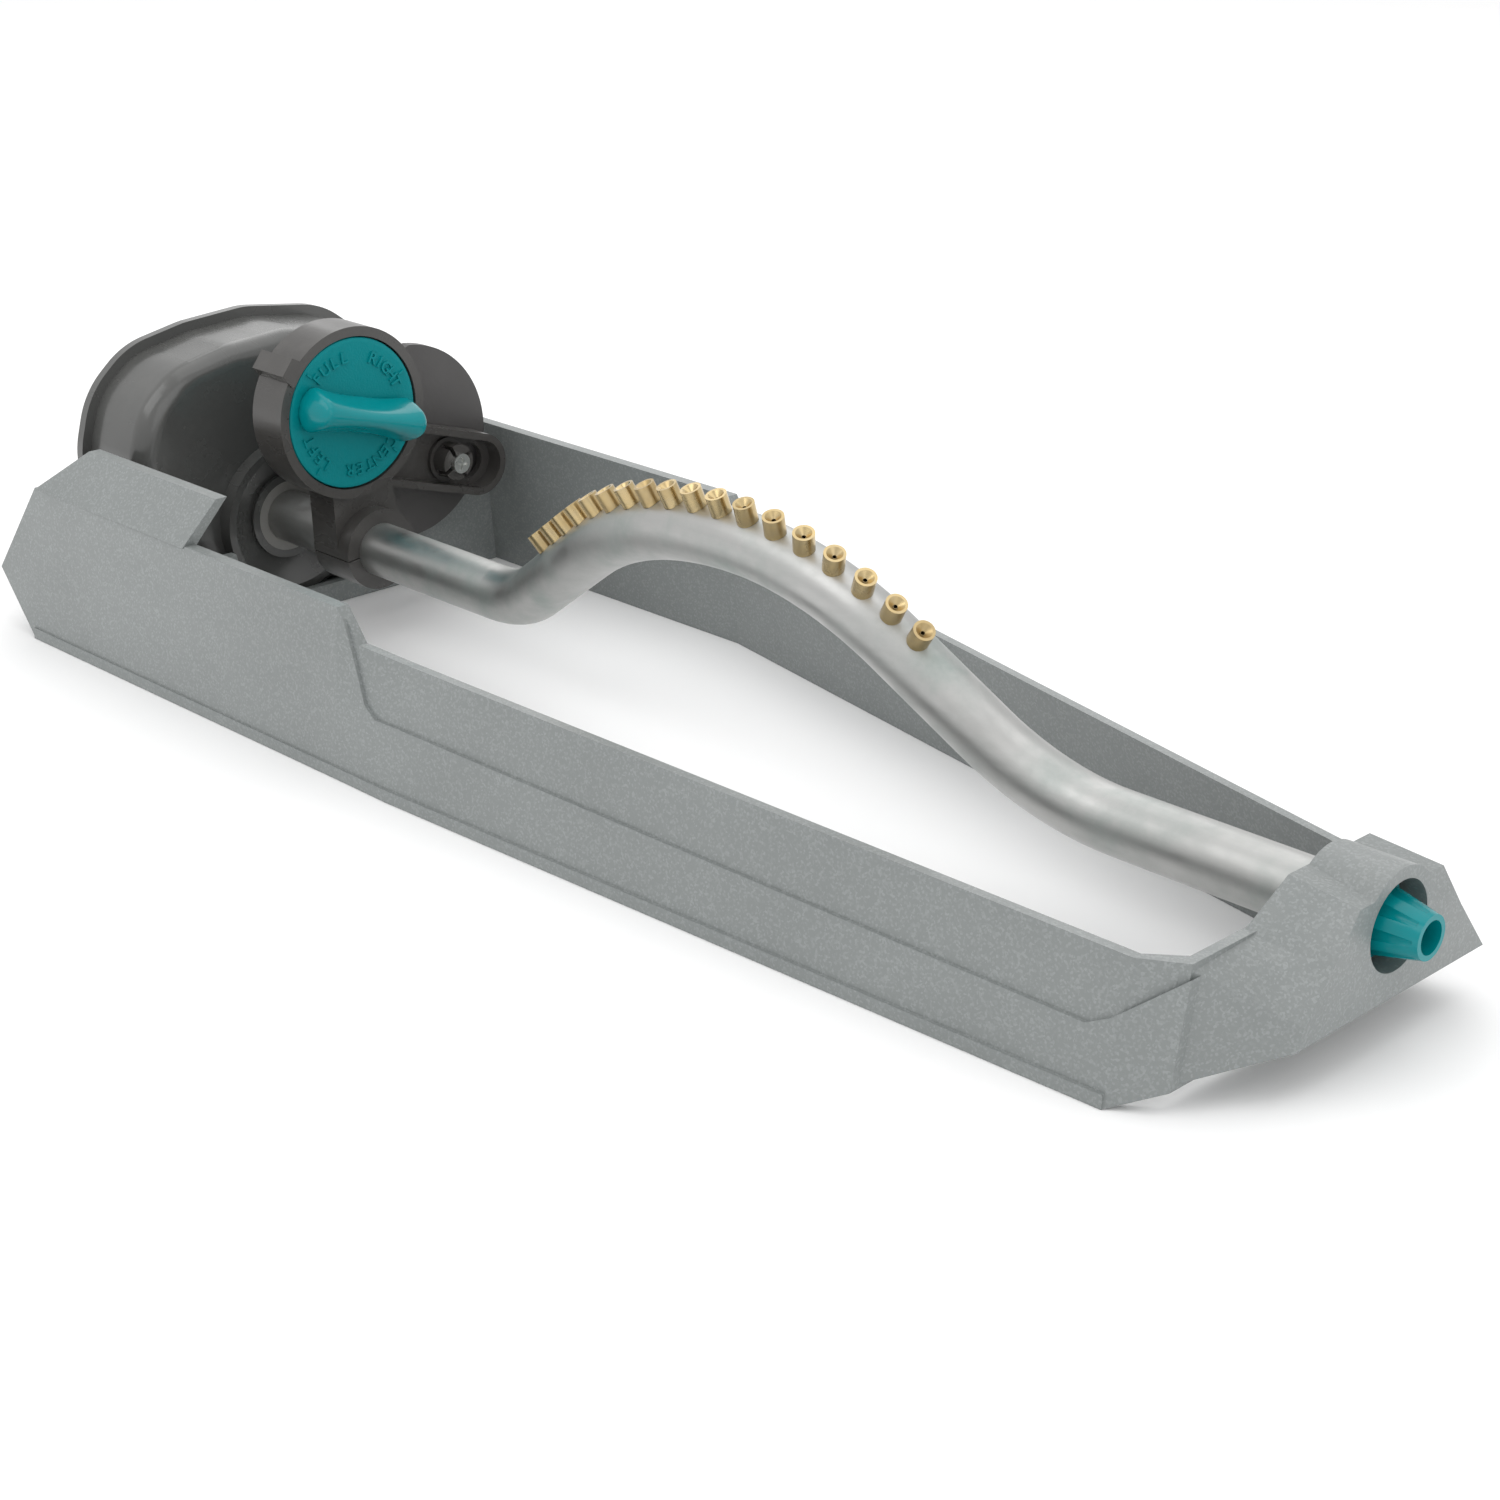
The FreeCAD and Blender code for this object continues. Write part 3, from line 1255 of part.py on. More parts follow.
def swivel_nut():
    """Ribbed hose nut that turns on the neck; its thread is a plain bore at minor radius."""
    neck_end = dim("plate_back_x") - dim("rear_depth") - dim("neck_length")
    flange_back = neck_end + 1.6 + 0.3
    front = flange_back + 3
    back = front - dim("nut_length")
    height = dim("axis_height")
    shape = x_rod(dim("nut_radius"), back, front, 0, height)
    count = 10
    for i in range(count):
        groove = x_rod(1.6, back + 2, front - 1, dim("nut_radius") + 0.6, 0)
        groove.rotate(Vector(0, 0, 0), X_AXIS, i * 360.0 / count)
        groove.translate(Vector(0, 0, height))
        shape = shape.cut(groove)
    thread = dim("hose_thread_radius")
    washer_back = neck_end - 2.4
    shape = shape.cut(x_rod(thread, back - 1, washer_back, 0, height))
    shape = shape.cut(x_rod(thread - dim("washer_fit"), back, flange_back, 0, height))
    neck = dim("neck_radius") + dim("running_fit")
    return shape.cut(x_rod(neck, flange_back - 1, front + 1, 0, height))


def hose_washer():
    """Rubber washer against the end of the neck."""
    neck_end = dim("plate_back_x") - dim("rear_depth") - dim("neck_length")
    height = dim("axis_height")
    outer = x_rod(dim("hose_thread_radius") - 0.9, neck_end - 2.4, neck_end, 0, height)
    return outer.cut(x_rod(dim("neck_bore"), neck_end - 3, neck_end + 1, 0, height))


def filter_screen():
    """Strainer disc pressed into the mouth of the neck."""
    neck_end = dim("plate_back_x") - dim("rear_depth") - dim("neck_length")
    height = dim("axis_height")
    shape = x_rod(dim("neck_bore"), neck_end + 0.4, neck_end + 1.2, 0, height)
    for i in range(-2, 3):
        for j in range(-2, 3):
            if math.hypot(i, j) * 2.1 < dim("neck_bore") - 1.2:
                shape = shape.cut(x_rod(0.75, neck_end, neck_end + 2, i * 2.1, height + j * 2.1))
    return shape


# ---------------------------------------------------------------- assembly
def build_all():
    """Create every sub-part in its resting place."""
    solid("frame", frame())
    housing = motor_housing()
    counterbore = x_rod(5.15, dim("front_face_x") + 2.0, dim("front_face_x") + 5,
                        *gear_places()["crank"])
    solid("motor_housing", housing.cut(counterbore))
    solid("end_plate", end_plate())
    solid("rear_shell", rear_shell())
    solid("plate_screws", plate_screws())
    solid("deck_screws", deck_screws())
    solid("gear_pins", gear_pins())
    solid("jet_ring", jet_ring())
    ring("tube_bush", "bush_radius", "tube_radius + running_fit", "bush_length",
         "front_face_x + 2 - bush_length", "0", "axis_height")
    height = dim("axis_height")
    solid("tube_o_ring", o_ring(-199, dim("tube_radius") + 0.03, 1.2, (0, height)))
    seal_x = dim("front_face_x") + 3.0
    inner = dim("output_shaft_radius") + 0.1
    solid("shaft_seal", o_ring(seal_x, inner, 1.0, gear_places()["crank"]))
    ring("end_bush", "bush_bore", "tube_radius + running_fit", "7", "hump_back_x - 2", "0",
         "axis_height")
    solid("hose_washer", hose_washer())
    solid("filter_screen", filter_screen())
    solid("spray_tube", spray_tube())
    solid("nozzles", nozzles())
    ring("tube_collar", "collar_radius", "tube_radius", "collar_length",
         "front_face_x - 12.5", "0", "axis_height")
    tube_lever()
    clamp_cap()
    dial()
    solid("dial_clip", dial_clip())
    solid("link_pin", link_pin())
    solid("link_arm", link_arm())
    solid("slot_boss", slot_boss())
    solid("boss_screw", boss_screw())
    solid("crank_disc", crank_disc())
    solid("output_gear", output_gear())
    solid("output_shaft", output_shaft())
    solid("second_gear", compound_gear("second", 1))
    solid("first_gear", compound_gear("first", 0))
    solid("turbine_wheel", turbine_wheel())
    solid("turbine_shaft", turbine_shaft())
    solid("turbine_pinion", turbine_pinion())
    ring("plug_seal", "8.6", "plug_shank + 0.2", "seal_thickness", "tube_end_x", "0",
         "axis_height")
    solid("end_plug", end_plug())
    solid("swivel_nut", swivel_nut())


def check_and_export():
    """Stop on any broken object, then write one STEP file per sub-part."""
    DOC.recompute()
    for obj in DOC.Objects:
        if "Invalid" in obj.State or "Error" in obj.State:
            raise RuntimeError("%s is %s" % (obj.Name, obj.State))
    os.makedirs("parts", exist_ok=True)
    for obj in FINISHED:
        if obj.Shape.isNull() or not obj.Shape.isValid() or not obj.Shape.Solids:
            raise RuntimeError("%s has no valid solid" % obj.Label)
        obj.Shape.exportStep("parts/%s.step" % obj.Label)


build_all()
check_and_export()
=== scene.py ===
import math

import bpy
import bmesh
from bpy.props import FloatProperty, FloatVectorProperty, PointerProperty
from mathutils import Matrix, Vector


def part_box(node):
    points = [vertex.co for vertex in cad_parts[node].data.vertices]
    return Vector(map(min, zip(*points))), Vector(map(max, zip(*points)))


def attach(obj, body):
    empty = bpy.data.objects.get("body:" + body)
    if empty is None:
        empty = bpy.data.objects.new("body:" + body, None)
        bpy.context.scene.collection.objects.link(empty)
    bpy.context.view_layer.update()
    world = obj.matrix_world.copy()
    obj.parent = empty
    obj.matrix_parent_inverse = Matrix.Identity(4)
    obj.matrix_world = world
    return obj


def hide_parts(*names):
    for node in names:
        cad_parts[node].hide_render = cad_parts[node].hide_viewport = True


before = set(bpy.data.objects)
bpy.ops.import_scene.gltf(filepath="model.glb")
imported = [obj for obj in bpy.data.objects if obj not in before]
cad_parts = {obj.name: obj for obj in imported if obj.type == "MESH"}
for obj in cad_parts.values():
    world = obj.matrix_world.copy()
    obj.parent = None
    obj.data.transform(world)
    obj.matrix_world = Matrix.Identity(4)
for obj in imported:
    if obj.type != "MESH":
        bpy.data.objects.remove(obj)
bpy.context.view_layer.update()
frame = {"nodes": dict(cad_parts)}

bl_info = {
    "name": "Lawn sprinkler",
    "version": (1, 0, 0),
    "blender": (4, 5, 0),
    "location": "3D View > Sidebar > Sprinkler",
    "description": "Finishes and fine detail for the oscillating lawn sprinkler",
    "category": "Object",
}

MM = 0.001
NODES = frame["nodes"]


# ---------------------------------------------------------------- places read from the frame
def centre_of(node):
    """Middle of a CAD node's box."""
    low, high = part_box(node)
    return (Vector(low) + Vector(high)) / 2


CLIP = centre_of("dial_clip")
DIAL_Y, DIAL_Z = CLIP.y, CLIP.z

# colours of the small and hidden parts, which have no setting of their own
CRANK_COLOUR = (0.066, 0.063, 0.062)
DIAL_FLAKE = (0.0, 0.28, 0.31)
BEARING_COLOUR = (0.27, 0.265, 0.25)
ACETAL_COLOUR = (0.62, 0.60, 0.55)
RUBBER_COLOUR = (0.018, 0.018, 0.018)
ZINC_COLOUR = (0.72, 0.73, 0.71)
STEEL_COLOUR = (0.56, 0.56, 0.55)
PLASTIC_BUMP_DEPTH = 0.0004
METAL_BUMP_DEPTH = 0.0003

# dial sizes in millimetres
CAD_GRIP_HEIGHT = 12.0
FACE_PROFILE = ((4.2, None), (4.2, 0.4), (3.8, 0.0), (0.7, 0.0), (0.2, 0.25), (0.0, 0.9),
                (0.1, 1.6), (0.25, None))
HUB_RADIUS = 17.4
HUB_EDGE = 0.4
WORD_RADIUS = 16.8
MARK_REACH = (19.0, 21.0)
MARK_HALF_WIDTH = 0.3
MARK_RISE = (-0.1, 0.35)
LETTER_SINK = 0.1
LETTER_EDGE = 0.00008

# font size over the height of its capitals
FONT_SCALE = 1.35

# grip: its turn in degrees, and the counts of rings and of points in a ring
GRIP_TURN = -15.5
GRIP_STEPS = 28
GRIP_POINTS = 20


# ---------------------------------------------------------------- settings
class SprinklerColours(bpy.types.PropertyGroup):
    """Colours of the moulded parts and metals."""

    frame: FloatVectorProperty(
        name="Frame", description="Satin grey of the moulded frame", subtype="COLOR",
        size=3, min=0, max=1, default=(0.209, 0.225, 0.222))
    frame_flake: FloatVectorProperty(
        name="Frame flake", description="Fine light flake in the frame plastic", subtype="COLOR",
        size=3, min=0, max=1, default=(0.34, 0.36, 0.36))
    housing: FloatVectorProperty(
        name="Motor housing", description="Charcoal of the glossy housing", subtype="COLOR",
        size=3, min=0, max=1, default=(0.078, 0.079, 0.076))
    lever: FloatVectorProperty(
        name="Lever", description="Brown black of the lever and link", subtype="COLOR",
        size=3, min=0, max=1, default=(0.055, 0.052, 0.049))
    dial: FloatVectorProperty(
        name="Dial", description="Teal of the dial and the end plug", subtype="COLOR",
        size=3, min=0, max=1, default=(0.0, 0.225, 0.245))
    tube: FloatVectorProperty(
        name="Tube", description="Bare aluminium of the spray tube", subtype="COLOR",
        size=3, min=0, max=1, default=(0.47, 0.47, 0.46))
    brass: FloatVectorProperty(
        name="Nozzles", description="Turned brass", subtype="COLOR",
        size=3, min=0, max=1, default=(0.56, 0.43, 0.22))


class SprinklerSizes(bpy.types.PropertyGroup):
    """Sizes of the fine detail."""

    edge: FloatProperty(
        name="Moulded edge", description="Rounding of the frame's edges", unit="LENGTH",
        min=0, max=0.003, default=0.0011)
    small_edge: FloatProperty(
        name="Small edge", description="Rounding of the small parts' edges", unit="LENGTH",
        min=0, max=0.002, default=0.0005)
    letter: FloatProperty(
        name="Letter height", description="Height of the raised words on the dial",
        unit="LENGTH", min=0.001, max=0.006, default=0.0036)
    raise_by: FloatProperty(
        name="Letter relief", description="How far the words stand out", unit="LENGTH",
        min=0.0001, max=0.001, default=0.0005)
    grip_length: FloatProperty(
        name="Grip length", description="End to end length of the dial's grip",
        unit="LENGTH", min=0.02, max=0.043, default=0.0395)
    grip_height: FloatProperty(
        name="Grip height", description="How far the grip stands off the dial",
        unit="LENGTH", min=0.004, max=0.016, default=0.0142)


class SprinklerStageSettings(bpy.types.PropertyGroup):
    """Light, floor and camera."""

    light: FloatProperty(
        name="Light", description="Strength of the studio lights", min=0, max=10, default=0.27)
    lens: FloatProperty(
        name="Lens", description="Focal length in millimetres", min=20, max=200, default=63.36)
    azimuth: FloatProperty(
        name="Azimuth", description="Camera turn about Z", subtype="ANGLE",
        default=math.radians(45.8))
    elevation: FloatProperty(
        name="Elevation", description="Camera height above the horizon", subtype="ANGLE",
        default=math.radians(22.5))
    place: FloatVectorProperty(
        name="Camera place", description="Camera position", subtype="TRANSLATION", size=3,
        default=(0.49985, -0.4444, 0.275))
    floor: FloatVectorProperty(
        name="Floor", description="Pale floor", subtype="COLOR", size=3, min=0, max=1,
        default=(0.93, 0.93, 0.93))


# ---------------------------------------------------------------- shader groups
def new_group(name, inputs, outputs):
    """A shader node group with named sockets."""
    group = bpy.data.node_groups.new(name, "ShaderNodeTree")
    for label, kind, value in inputs:
        socket = group.interface.new_socket(name=label, in_out="INPUT", socket_type=kind)
        socket.default_value = value
    for label, kind in outputs:
        group.interface.new_socket(name=label, in_out="OUTPUT", socket_type=kind)
    return group, group.nodes.new("NodeGroupInput"), group.nodes.new("NodeGroupOutput")


def add(tree, kind, values=None, **settings):
    """One node with its settings and socket values."""
    item = tree.nodes.new(kind)
    for key, value in settings.items():
        setattr(item, key, value)
    for key, value in (values or {}).items():
        item.inputs[key].default_value = value
    return item


def maths(tree, operation, first, second):
    """A maths node; either side is a socket or a number."""
    item = add(tree, "ShaderNodeMath", operation=operation)
    for index, value in enumerate((first, second)):
        if isinstance(value, (int, float)):
            item.inputs[index].default_value = value
        else:
            tree.links.new(value, item.inputs[index])
    return item.outputs[0]


def blend_colours(tree, factor, first, second, mode="MIX"):
    """A colour mix; each colour is a socket or four numbers."""
    item = add(tree, "ShaderNodeMix", data_type="RGBA", blend_type=mode)
    for value, socket in ((factor, item.inputs[0]), (first, item.inputs[6]),
                          (second, item.inputs[7])):
        if isinstance(value, (int, float, tuple)):
            socket.default_value = value
        else:
            tree.links.new(value, socket)
    return item.outputs[2]


def stretched(tree, scale):
    """Object coordinates scaled along each axis."""
    place = add(tree, "ShaderNodeTexCoord")
    mapping = add(tree, "ShaderNodeMapping")
    mapping.inputs["Scale"].default_value = scale
    tree.links.new(place.outputs["Object"], mapping.inputs["Vector"])
    return mapping.outputs["Vector"]


def noise(tree, vector, scale, detail=3.0, rough=0.55):
    """Noise texture over a vector; returns its value."""
    item = add(tree, "ShaderNodeTexNoise", {"Detail": detail, "Roughness": rough})
    tree.links.new(vector, item.inputs["Vector"])
    if isinstance(scale, (int, float)):
        item.inputs["Scale"].default_value = scale
    else:
        tree.links.new(scale, item.inputs["Scale"])
    return item.outputs["Fac"]


def ranged(tree, value, low, high, out_low, out_high):
    """Map a value from one range to another, clamped."""
    item = add(tree, "ShaderNodeMapRange", {
        "From Min": low, "From Max": high, "To Min": out_low, "To Max": out_high})
    tree.links.new(value, item.inputs["Value"])
    return item.outputs["Result"]


def moulded_group():
    """Moulded plastic: fine flake, slow mottling, grain for the bump and a rub of shine."""
    group, start, end = new_group(
        "moulded_surface",
        [("Colour", "NodeSocketColor", (0.5, 0.5, 0.5, 1)),
         ("Flake Colour", "NodeSocketColor", (0.7, 0.7, 0.7, 1)),
         ("Flake", "NodeSocketFloat", 0.3), ("Grain Scale", "NodeSocketFloat", 1500.0),
         ("Roughness", "NodeSocketFloat", 0.4), ("Mottle", "NodeSocketFloat", 0.1)],
        [("Colour", "NodeSocketColor"), ("Roughness", "NodeSocketFloat"),
         ("Height", "NodeSocketFloat")])
    where = stretched(group, (1, 1, 1))
    cells = add(group, "ShaderNodeTexVoronoi", feature="F1")
    group.links.new(where, cells.inputs["Vector"])
    group.links.new(start.outputs["Grain Scale"], cells.inputs["Scale"])
    bright = add(group, "ShaderNodeSeparateColor")
    group.links.new(cells.outputs["Color"], bright.inputs["Color"])
    spark = ranged(group, bright.outputs[0], 0.55, 1.0, 0.0, 1.0)
    amount = maths(group, "MULTIPLY", spark, start.outputs["Flake"])
    flaked = blend_colours(group, amount, start.outputs["Colour"], start.outputs["Flake Colour"])
    slow = noise(group, where, 22.0, 4.0)
    shade = maths(group, "MULTIPLY", ranged(group, slow, 0.3, 0.7, 0.0, 1.0),
                  start.outputs["Mottle"])
    darker = blend_colours(group, shade, flaked, (0.0, 0.0, 0.0, 1.0))
    group.links.new(darker, end.inputs["Colour"])
    smear = ranged(group, noise(group, stretched(group, (30, 90, 90)), 1.0, 4.0),
                   0.35, 0.7, -0.05, 0.07)
    group.links.new(maths(group, "ADD", start.outputs["Roughness"], smear),
                    end.inputs["Roughness"])
    grain = noise(group, where, start.outputs["Grain Scale"], 2.0)
    group.links.new(grain, end.inputs["Height"])
    return group


def drawn_metal_group():
    """Bare drawn tube: mottled oxide, long streaks and cloudy roughness."""
    group, start, end = new_group(
        "drawn_metal",
        [("Colour", "NodeSocketColor", (0.7, 0.7, 0.7, 1)),
         ("Oxide", "NodeSocketColor", (0.4, 0.45, 0.42, 1)),
         ("Amount", "NodeSocketFloat", 0.5), ("Roughness", "NodeSocketFloat", 0.3)],
        [("Colour", "NodeSocketColor"), ("Roughness", "NodeSocketFloat"),
         ("Height", "NodeSocketFloat")])
    where = stretched(group, (1, 1, 1))
    cloud = noise(group, where, 75.0, 6.0, 0.62)
    wide = noise(group, where, 28.0, 4.0, 0.6)
    streak = noise(group, stretched(group, (14, 420, 420)), 1.0, 5.0, 0.6)
    mask = maths(group, "MULTIPLY", ranged(group, cloud, 0.42, 0.66, 0.0, 1.0),
                 ranged(group, wide, 0.40, 0.62, 0.15, 1.0))
    mask = maths(group, "MULTIPLY", mask, start.outputs["Amount"])
    stained = blend_colours(group, mask, start.outputs["Colour"], start.outputs["Oxide"])
    lines = maths(group, "MULTIPLY", ranged(group, streak, 0.3, 0.75, 0.0, 1.0), 0.22)
    group.links.new(blend_colours(group, lines, stained, (0.28, 0.29, 0.28, 1.0)),
                    end.inputs["Colour"])
    cloudy = ranged(group, cloud, 0.35, 0.7, -0.06, 0.14)
    group.links.new(maths(group, "ADD", start.outputs["Roughness"], cloudy),
                    end.inputs["Roughness"])
    group.links.new(maths(group, "ADD", maths(group, "MULTIPLY", cloud, 0.6),
                          maths(group, "MULTIPLY", streak, 0.4)), end.inputs["Height"])
    return group


def wet_dust_group():
    """Dust and dried water that settle on upward faces."""
    group, start, end = new_group(
        "settled_dust",
        [("Colour", "NodeSocketColor", (0.5, 0.5, 0.5, 1)),
         ("Dust", "NodeSocketColor", (0.42, 0.41, 0.38, 1)), ("Amount", "NodeSocketFloat", 0.1),
         ("Roughness", "NodeSocketFloat", 0.4)],
        [("Colour", "NodeSocketColor"), ("Roughness", "NodeSocketFloat")])
    facing = add(group, "ShaderNodeNewGeometry")
    split = add(group, "ShaderNodeSeparateXYZ")
    group.links.new(facing.outputs["Normal"], split.inputs[0])
    up = ranged(group, split.outputs["Z"], 0.25, 1.0, 0.0, 1.0)
    patch = ranged(group, noise(group, stretched(group, (1, 1, 1)), 140.0, 5.0),
                   0.4, 0.75, 0.0, 1.0)
    mask = maths(group, "MULTIPLY", maths(group, "MULTIPLY", up, patch), start.outputs["Amount"])
    group.links.new(blend_colours(group, mask, start.outputs["Colour"], start.outputs["Dust"]),
                    end.inputs["Colour"])
    group.links.new(maths(group, "ADD", start.outputs["Roughness"],
                          maths(group, "MULTIPLY", mask, 0.3)), end.inputs["Roughness"])
    return group


GROUPS = {}
MATERIALS = {}


def group_named(name):
    """Each effect is built once."""
    if name not in GROUPS:
        GROUPS[name] = {"moulded": moulded_group, "metal": drawn_metal_group,
                        "dust": wet_dust_group}[name]()
    return GROUPS[name]


def rgba(colour):
    """Three numbers as a colour with full alpha."""
    return (colour[0], colour[1], colour[2], 1.0)


def material(name, effect, values, bump, bump_size, dust=0.0, **shader_values):
    """A material: an effect group, an optional dust group, a bump and one shader."""
    if name in MATERIALS:
        return MATERIALS[name]
    made = bpy.data.materials.new(name)
    made.use_nodes = True
    tree = made.node_tree
    shader = tree.nodes["Principled BSDF"]
    for key, value in shader_values.items():
        shader.inputs[key.replace("_", " ")].default_value = value
    effect_node = add(tree, "ShaderNodeGroup", node_tree=group_named(effect))
    for key, value in values.items():
        effect_node.inputs[key].default_value = value
    colour, rough = effect_node.outputs["Colour"], effect_node.outputs["Roughness"]
    if dust:
        settled = add(tree, "ShaderNodeGroup", {"Amount": dust}, node_tree=group_named("dust"))
        tree.links.new(colour, settled.inputs["Colour"])
        tree.links.new(rough, settled.inputs["Roughness"])
        colour, rough = settled.outputs["Colour"], settled.outputs["Roughness"]
    tree.links.new(colour, shader.inputs["Base Color"])
    tree.links.new(rough, shader.inputs["Roughness"])
    relief = add(tree, "ShaderNodeBump", {"Strength": bump, "Distance": bump_size})
    tree.links.new(effect_node.outputs["Height"], relief.inputs["Height"])
    tree.links.new(relief.outputs["Normal"], shader.inputs["Normal"])
    MATERIALS[name] = made
    return made


def plastic(name, colour, roughness, flake=0.0, flake_colour=None, mottle=0.08, bump=0.08,
            grain=1500.0, dust=0.06, **extra):
    """Moulded plastic."""
    values = {"Colour": rgba(colour), "Flake Colour": rgba(flake_colour or colour),
              "Flake": flake, "Grain Scale": grain, "Roughness": roughness, "Mottle": mottle}
    return material(name, "moulded", values, bump, PLASTIC_BUMP_DEPTH, dust, **extra)


def metal(name, colour, roughness, oxide, amount, bump=0.1):
    """Bare metal."""
    values = {"Colour": rgba(colour), "Oxide": rgba(oxide), "Amount": amount,
              "Roughness": roughness}
    return material(name, "metal", values, bump, METAL_BUMP_DEPTH, Metallic=1.0)


def finish(name):
    """The material for one finish by name."""
    tint = bpy.context.scene.sprinkler_colours
    makers = {
        "frame": lambda: plastic(
            "frame_satin", tint.frame, roughness=0.40, flake=0.42, flake_colour=tint.frame_flake,
            mottle=0.10, bump=0.10, grain=1900.0, dust=0.05, Coat_Weight=0.15,
            Coat_Roughness=0.25),
        "housing": lambda: plastic(
            "housing_gloss", tint.housing, roughness=0.24, mottle=0.10, bump=0.03, grain=700.0,
            dust=0.05, Coat_Weight=0.35, Coat_Roughness=0.12),
        "lever": lambda: plastic(
            "lever_gloss", tint.lever, roughness=0.30, mottle=0.12, bump=0.06, grain=900.0,
            dust=0.07, Coat_Weight=0.2, Coat_Roughness=0.2),
        "crank": lambda: plastic(
            "crank_satin", CRANK_COLOUR, roughness=0.36, mottle=0.1, bump=0.05, grain=900.0,
            dust=0.05),
        "dial": lambda: plastic(
            "dial_face", tint.dial, roughness=0.42, flake=0.05, flake_colour=DIAL_FLAKE,
            mottle=0.08, bump=0.22, grain=1500.0, dust=0.0, Specular_IOR_Level=0.15),
        "grip": lambda: plastic(
            "grip_gloss", tint.dial, roughness=0.20, mottle=0.05, bump=0.03, grain=700.0,
            dust=0.0, Specular_IOR_Level=0.25, Coat_Weight=0.1, Coat_Roughness=0.1),
        "bearing": lambda: plastic(
            "bearing_grey", BEARING_COLOUR, roughness=0.42, mottle=0.12, bump=0.08, grain=900.0,
            dust=0.08),
        "natural": lambda: plastic(
            "natural_acetal", ACETAL_COLOUR, roughness=0.38, mottle=0.08, bump=0.06,
            grain=900.0, dust=0.05),
        "rubber": lambda: plastic(
            "seal_rubber", RUBBER_COLOUR, roughness=0.62, mottle=0.2, bump=0.12, grain=1400.0,
            dust=0.1),
        "tube": lambda: metal(
            "tube_aluminium", tint.tube, roughness=0.43, oxide=(0.34, 0.39, 0.37), amount=0.75,
            bump=0.22),
        "brass": lambda: metal(
            "turned_brass", tint.brass, roughness=0.27, oxide=(0.30, 0.18, 0.05), amount=0.5,
            bump=0.06),
        "zinc": lambda: metal(
            "zinc_screw", ZINC_COLOUR, roughness=0.22, oxide=(0.45, 0.46, 0.42), amount=0.3),
        "steel": lambda: metal(
            "ground_steel", STEEL_COLOUR, roughness=0.30, oxide=(0.3, 0.3, 0.3), amount=0.3),
    }
    return makers[name]()


# ---------------------------------------------------------------- mesh helpers
def dress(node, look, edge=0.0, angle=32):
    """Give a CAD node its finish and rounded, smooth shaded edges."""
    obj = NODES[node]
    obj.data.materials.clear()
    obj.data.materials.append(finish(look))
    if edge:
        rounding = obj.modifiers.new("rounded_edges", "BEVEL")
        rounding.width = edge
        rounding.segments = 3
        rounding.limit_method = "ANGLE"
        rounding.angle_limit = math.radians(angle)
        rounding.harden_normals = True
        rounding.use_clamp_overlap = True
    return obj


def piece(name, mesh_maker, look, body, smooth=40):
    """A new mesh piece that rides on a body."""
    work = bmesh.new()
    mesh_maker(work)
    bmesh.ops.recalc_face_normals(work, faces=work.faces)
    mesh = bpy.data.meshes.new(name)
    work.to_mesh(mesh)
    work.free()
    mesh.shade_smooth()
    mesh.set_sharp_from_angle(angle=math.radians(smooth))
    obj = bpy.data.objects.new(name, mesh)
    bpy.context.scene.collection.objects.link(obj)
    mesh.materials.append(finish(look))
    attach(obj, body)
    return obj


def lathe(work, profile, y, z, steps=96):
    """Closed turned form about an X axis line; the profile is pairs of x and radius."""
    rings = []
    for x, radius in profile:
        if radius < 1e-7:
            rings.append([work.verts.new((x, y, z))])
            continue
        rings.append([work.verts.new((x, y + radius * math.cos(2 * math.pi * i / steps),
                                      z + radius * math.sin(2 * math.pi * i / steps)))
                      for i in range(steps)])
    for first, second in zip(rings, rings[1:]):
        for i in range(steps):
            j = (i + 1) % steps
            if len(first) == 1:
                work.faces.new((first[0], second[i], second[j]))
            elif len(second) == 1:
                work.faces.new((first[i], first[j], second[0]))
            else:
                work.faces.new((first[i], first[j], second[j], second[i]))


def loft(work, rings):
    """Skin between equal rings of points, with end caps."""
    made = [[work.verts.new(point) for point in ring] for ring in rings]
    count = len(made[0])
    for first, second in zip(made, made[1:]):
        for i in range(count):
            j = (i + 1) % count
            work.faces.new((first[i], first[j], second[j], second[i]))
    work.faces.new(made[0])
    work.faces.new(list(reversed(made[-1])))


def on_dial(out, across, x, turn):
    """Point on the dial from polar-like local axes turned by an angle."""
    return Vector((x, DIAL_Y + out * math.cos(turn) - across * math.sin(turn),
                   DIAL_Z + out * math.sin(turn) + across * math.cos(turn)))


# ---------------------------------------------------------------- pieces
class MESH_OT_sprinkler_frame(bpy.types.Operator):
    """Finish the moulded frame and its screws."""

    bl_idname = "mesh.sprinkler_frame"
    bl_label = "Frame"

    def execute(self, context):
        sizes = context.scene.sprinkler_sizes
        dress("frame", "frame", sizes.edge, 28)
        dress("deck_screws", "zinc", 0.0003)
        dress("end_bush", "natural", 0.0003)
        return {"FINISHED"}


class MESH_OT_sprinkler_motor(bpy.types.Operator):
    """Finish the motor housing, its plates, screws and bearing."""

    bl_idname = "mesh.sprinkler_motor"
    bl_label = "Motor housing"

    def execute(self, context):
        sizes = context.scene.sprinkler_sizes
        dress("motor_housing", "housing", sizes.small_edge, 35)
        dress("end_plate", "housing", sizes.small_edge, 35)
        dress("rear_shell", "housing", sizes.small_edge, 35)
        dress("plate_screws", "zinc", 0.0003)
        dress("tube_bush", "bearing", 0.0004)
        return {"FINISHED"}


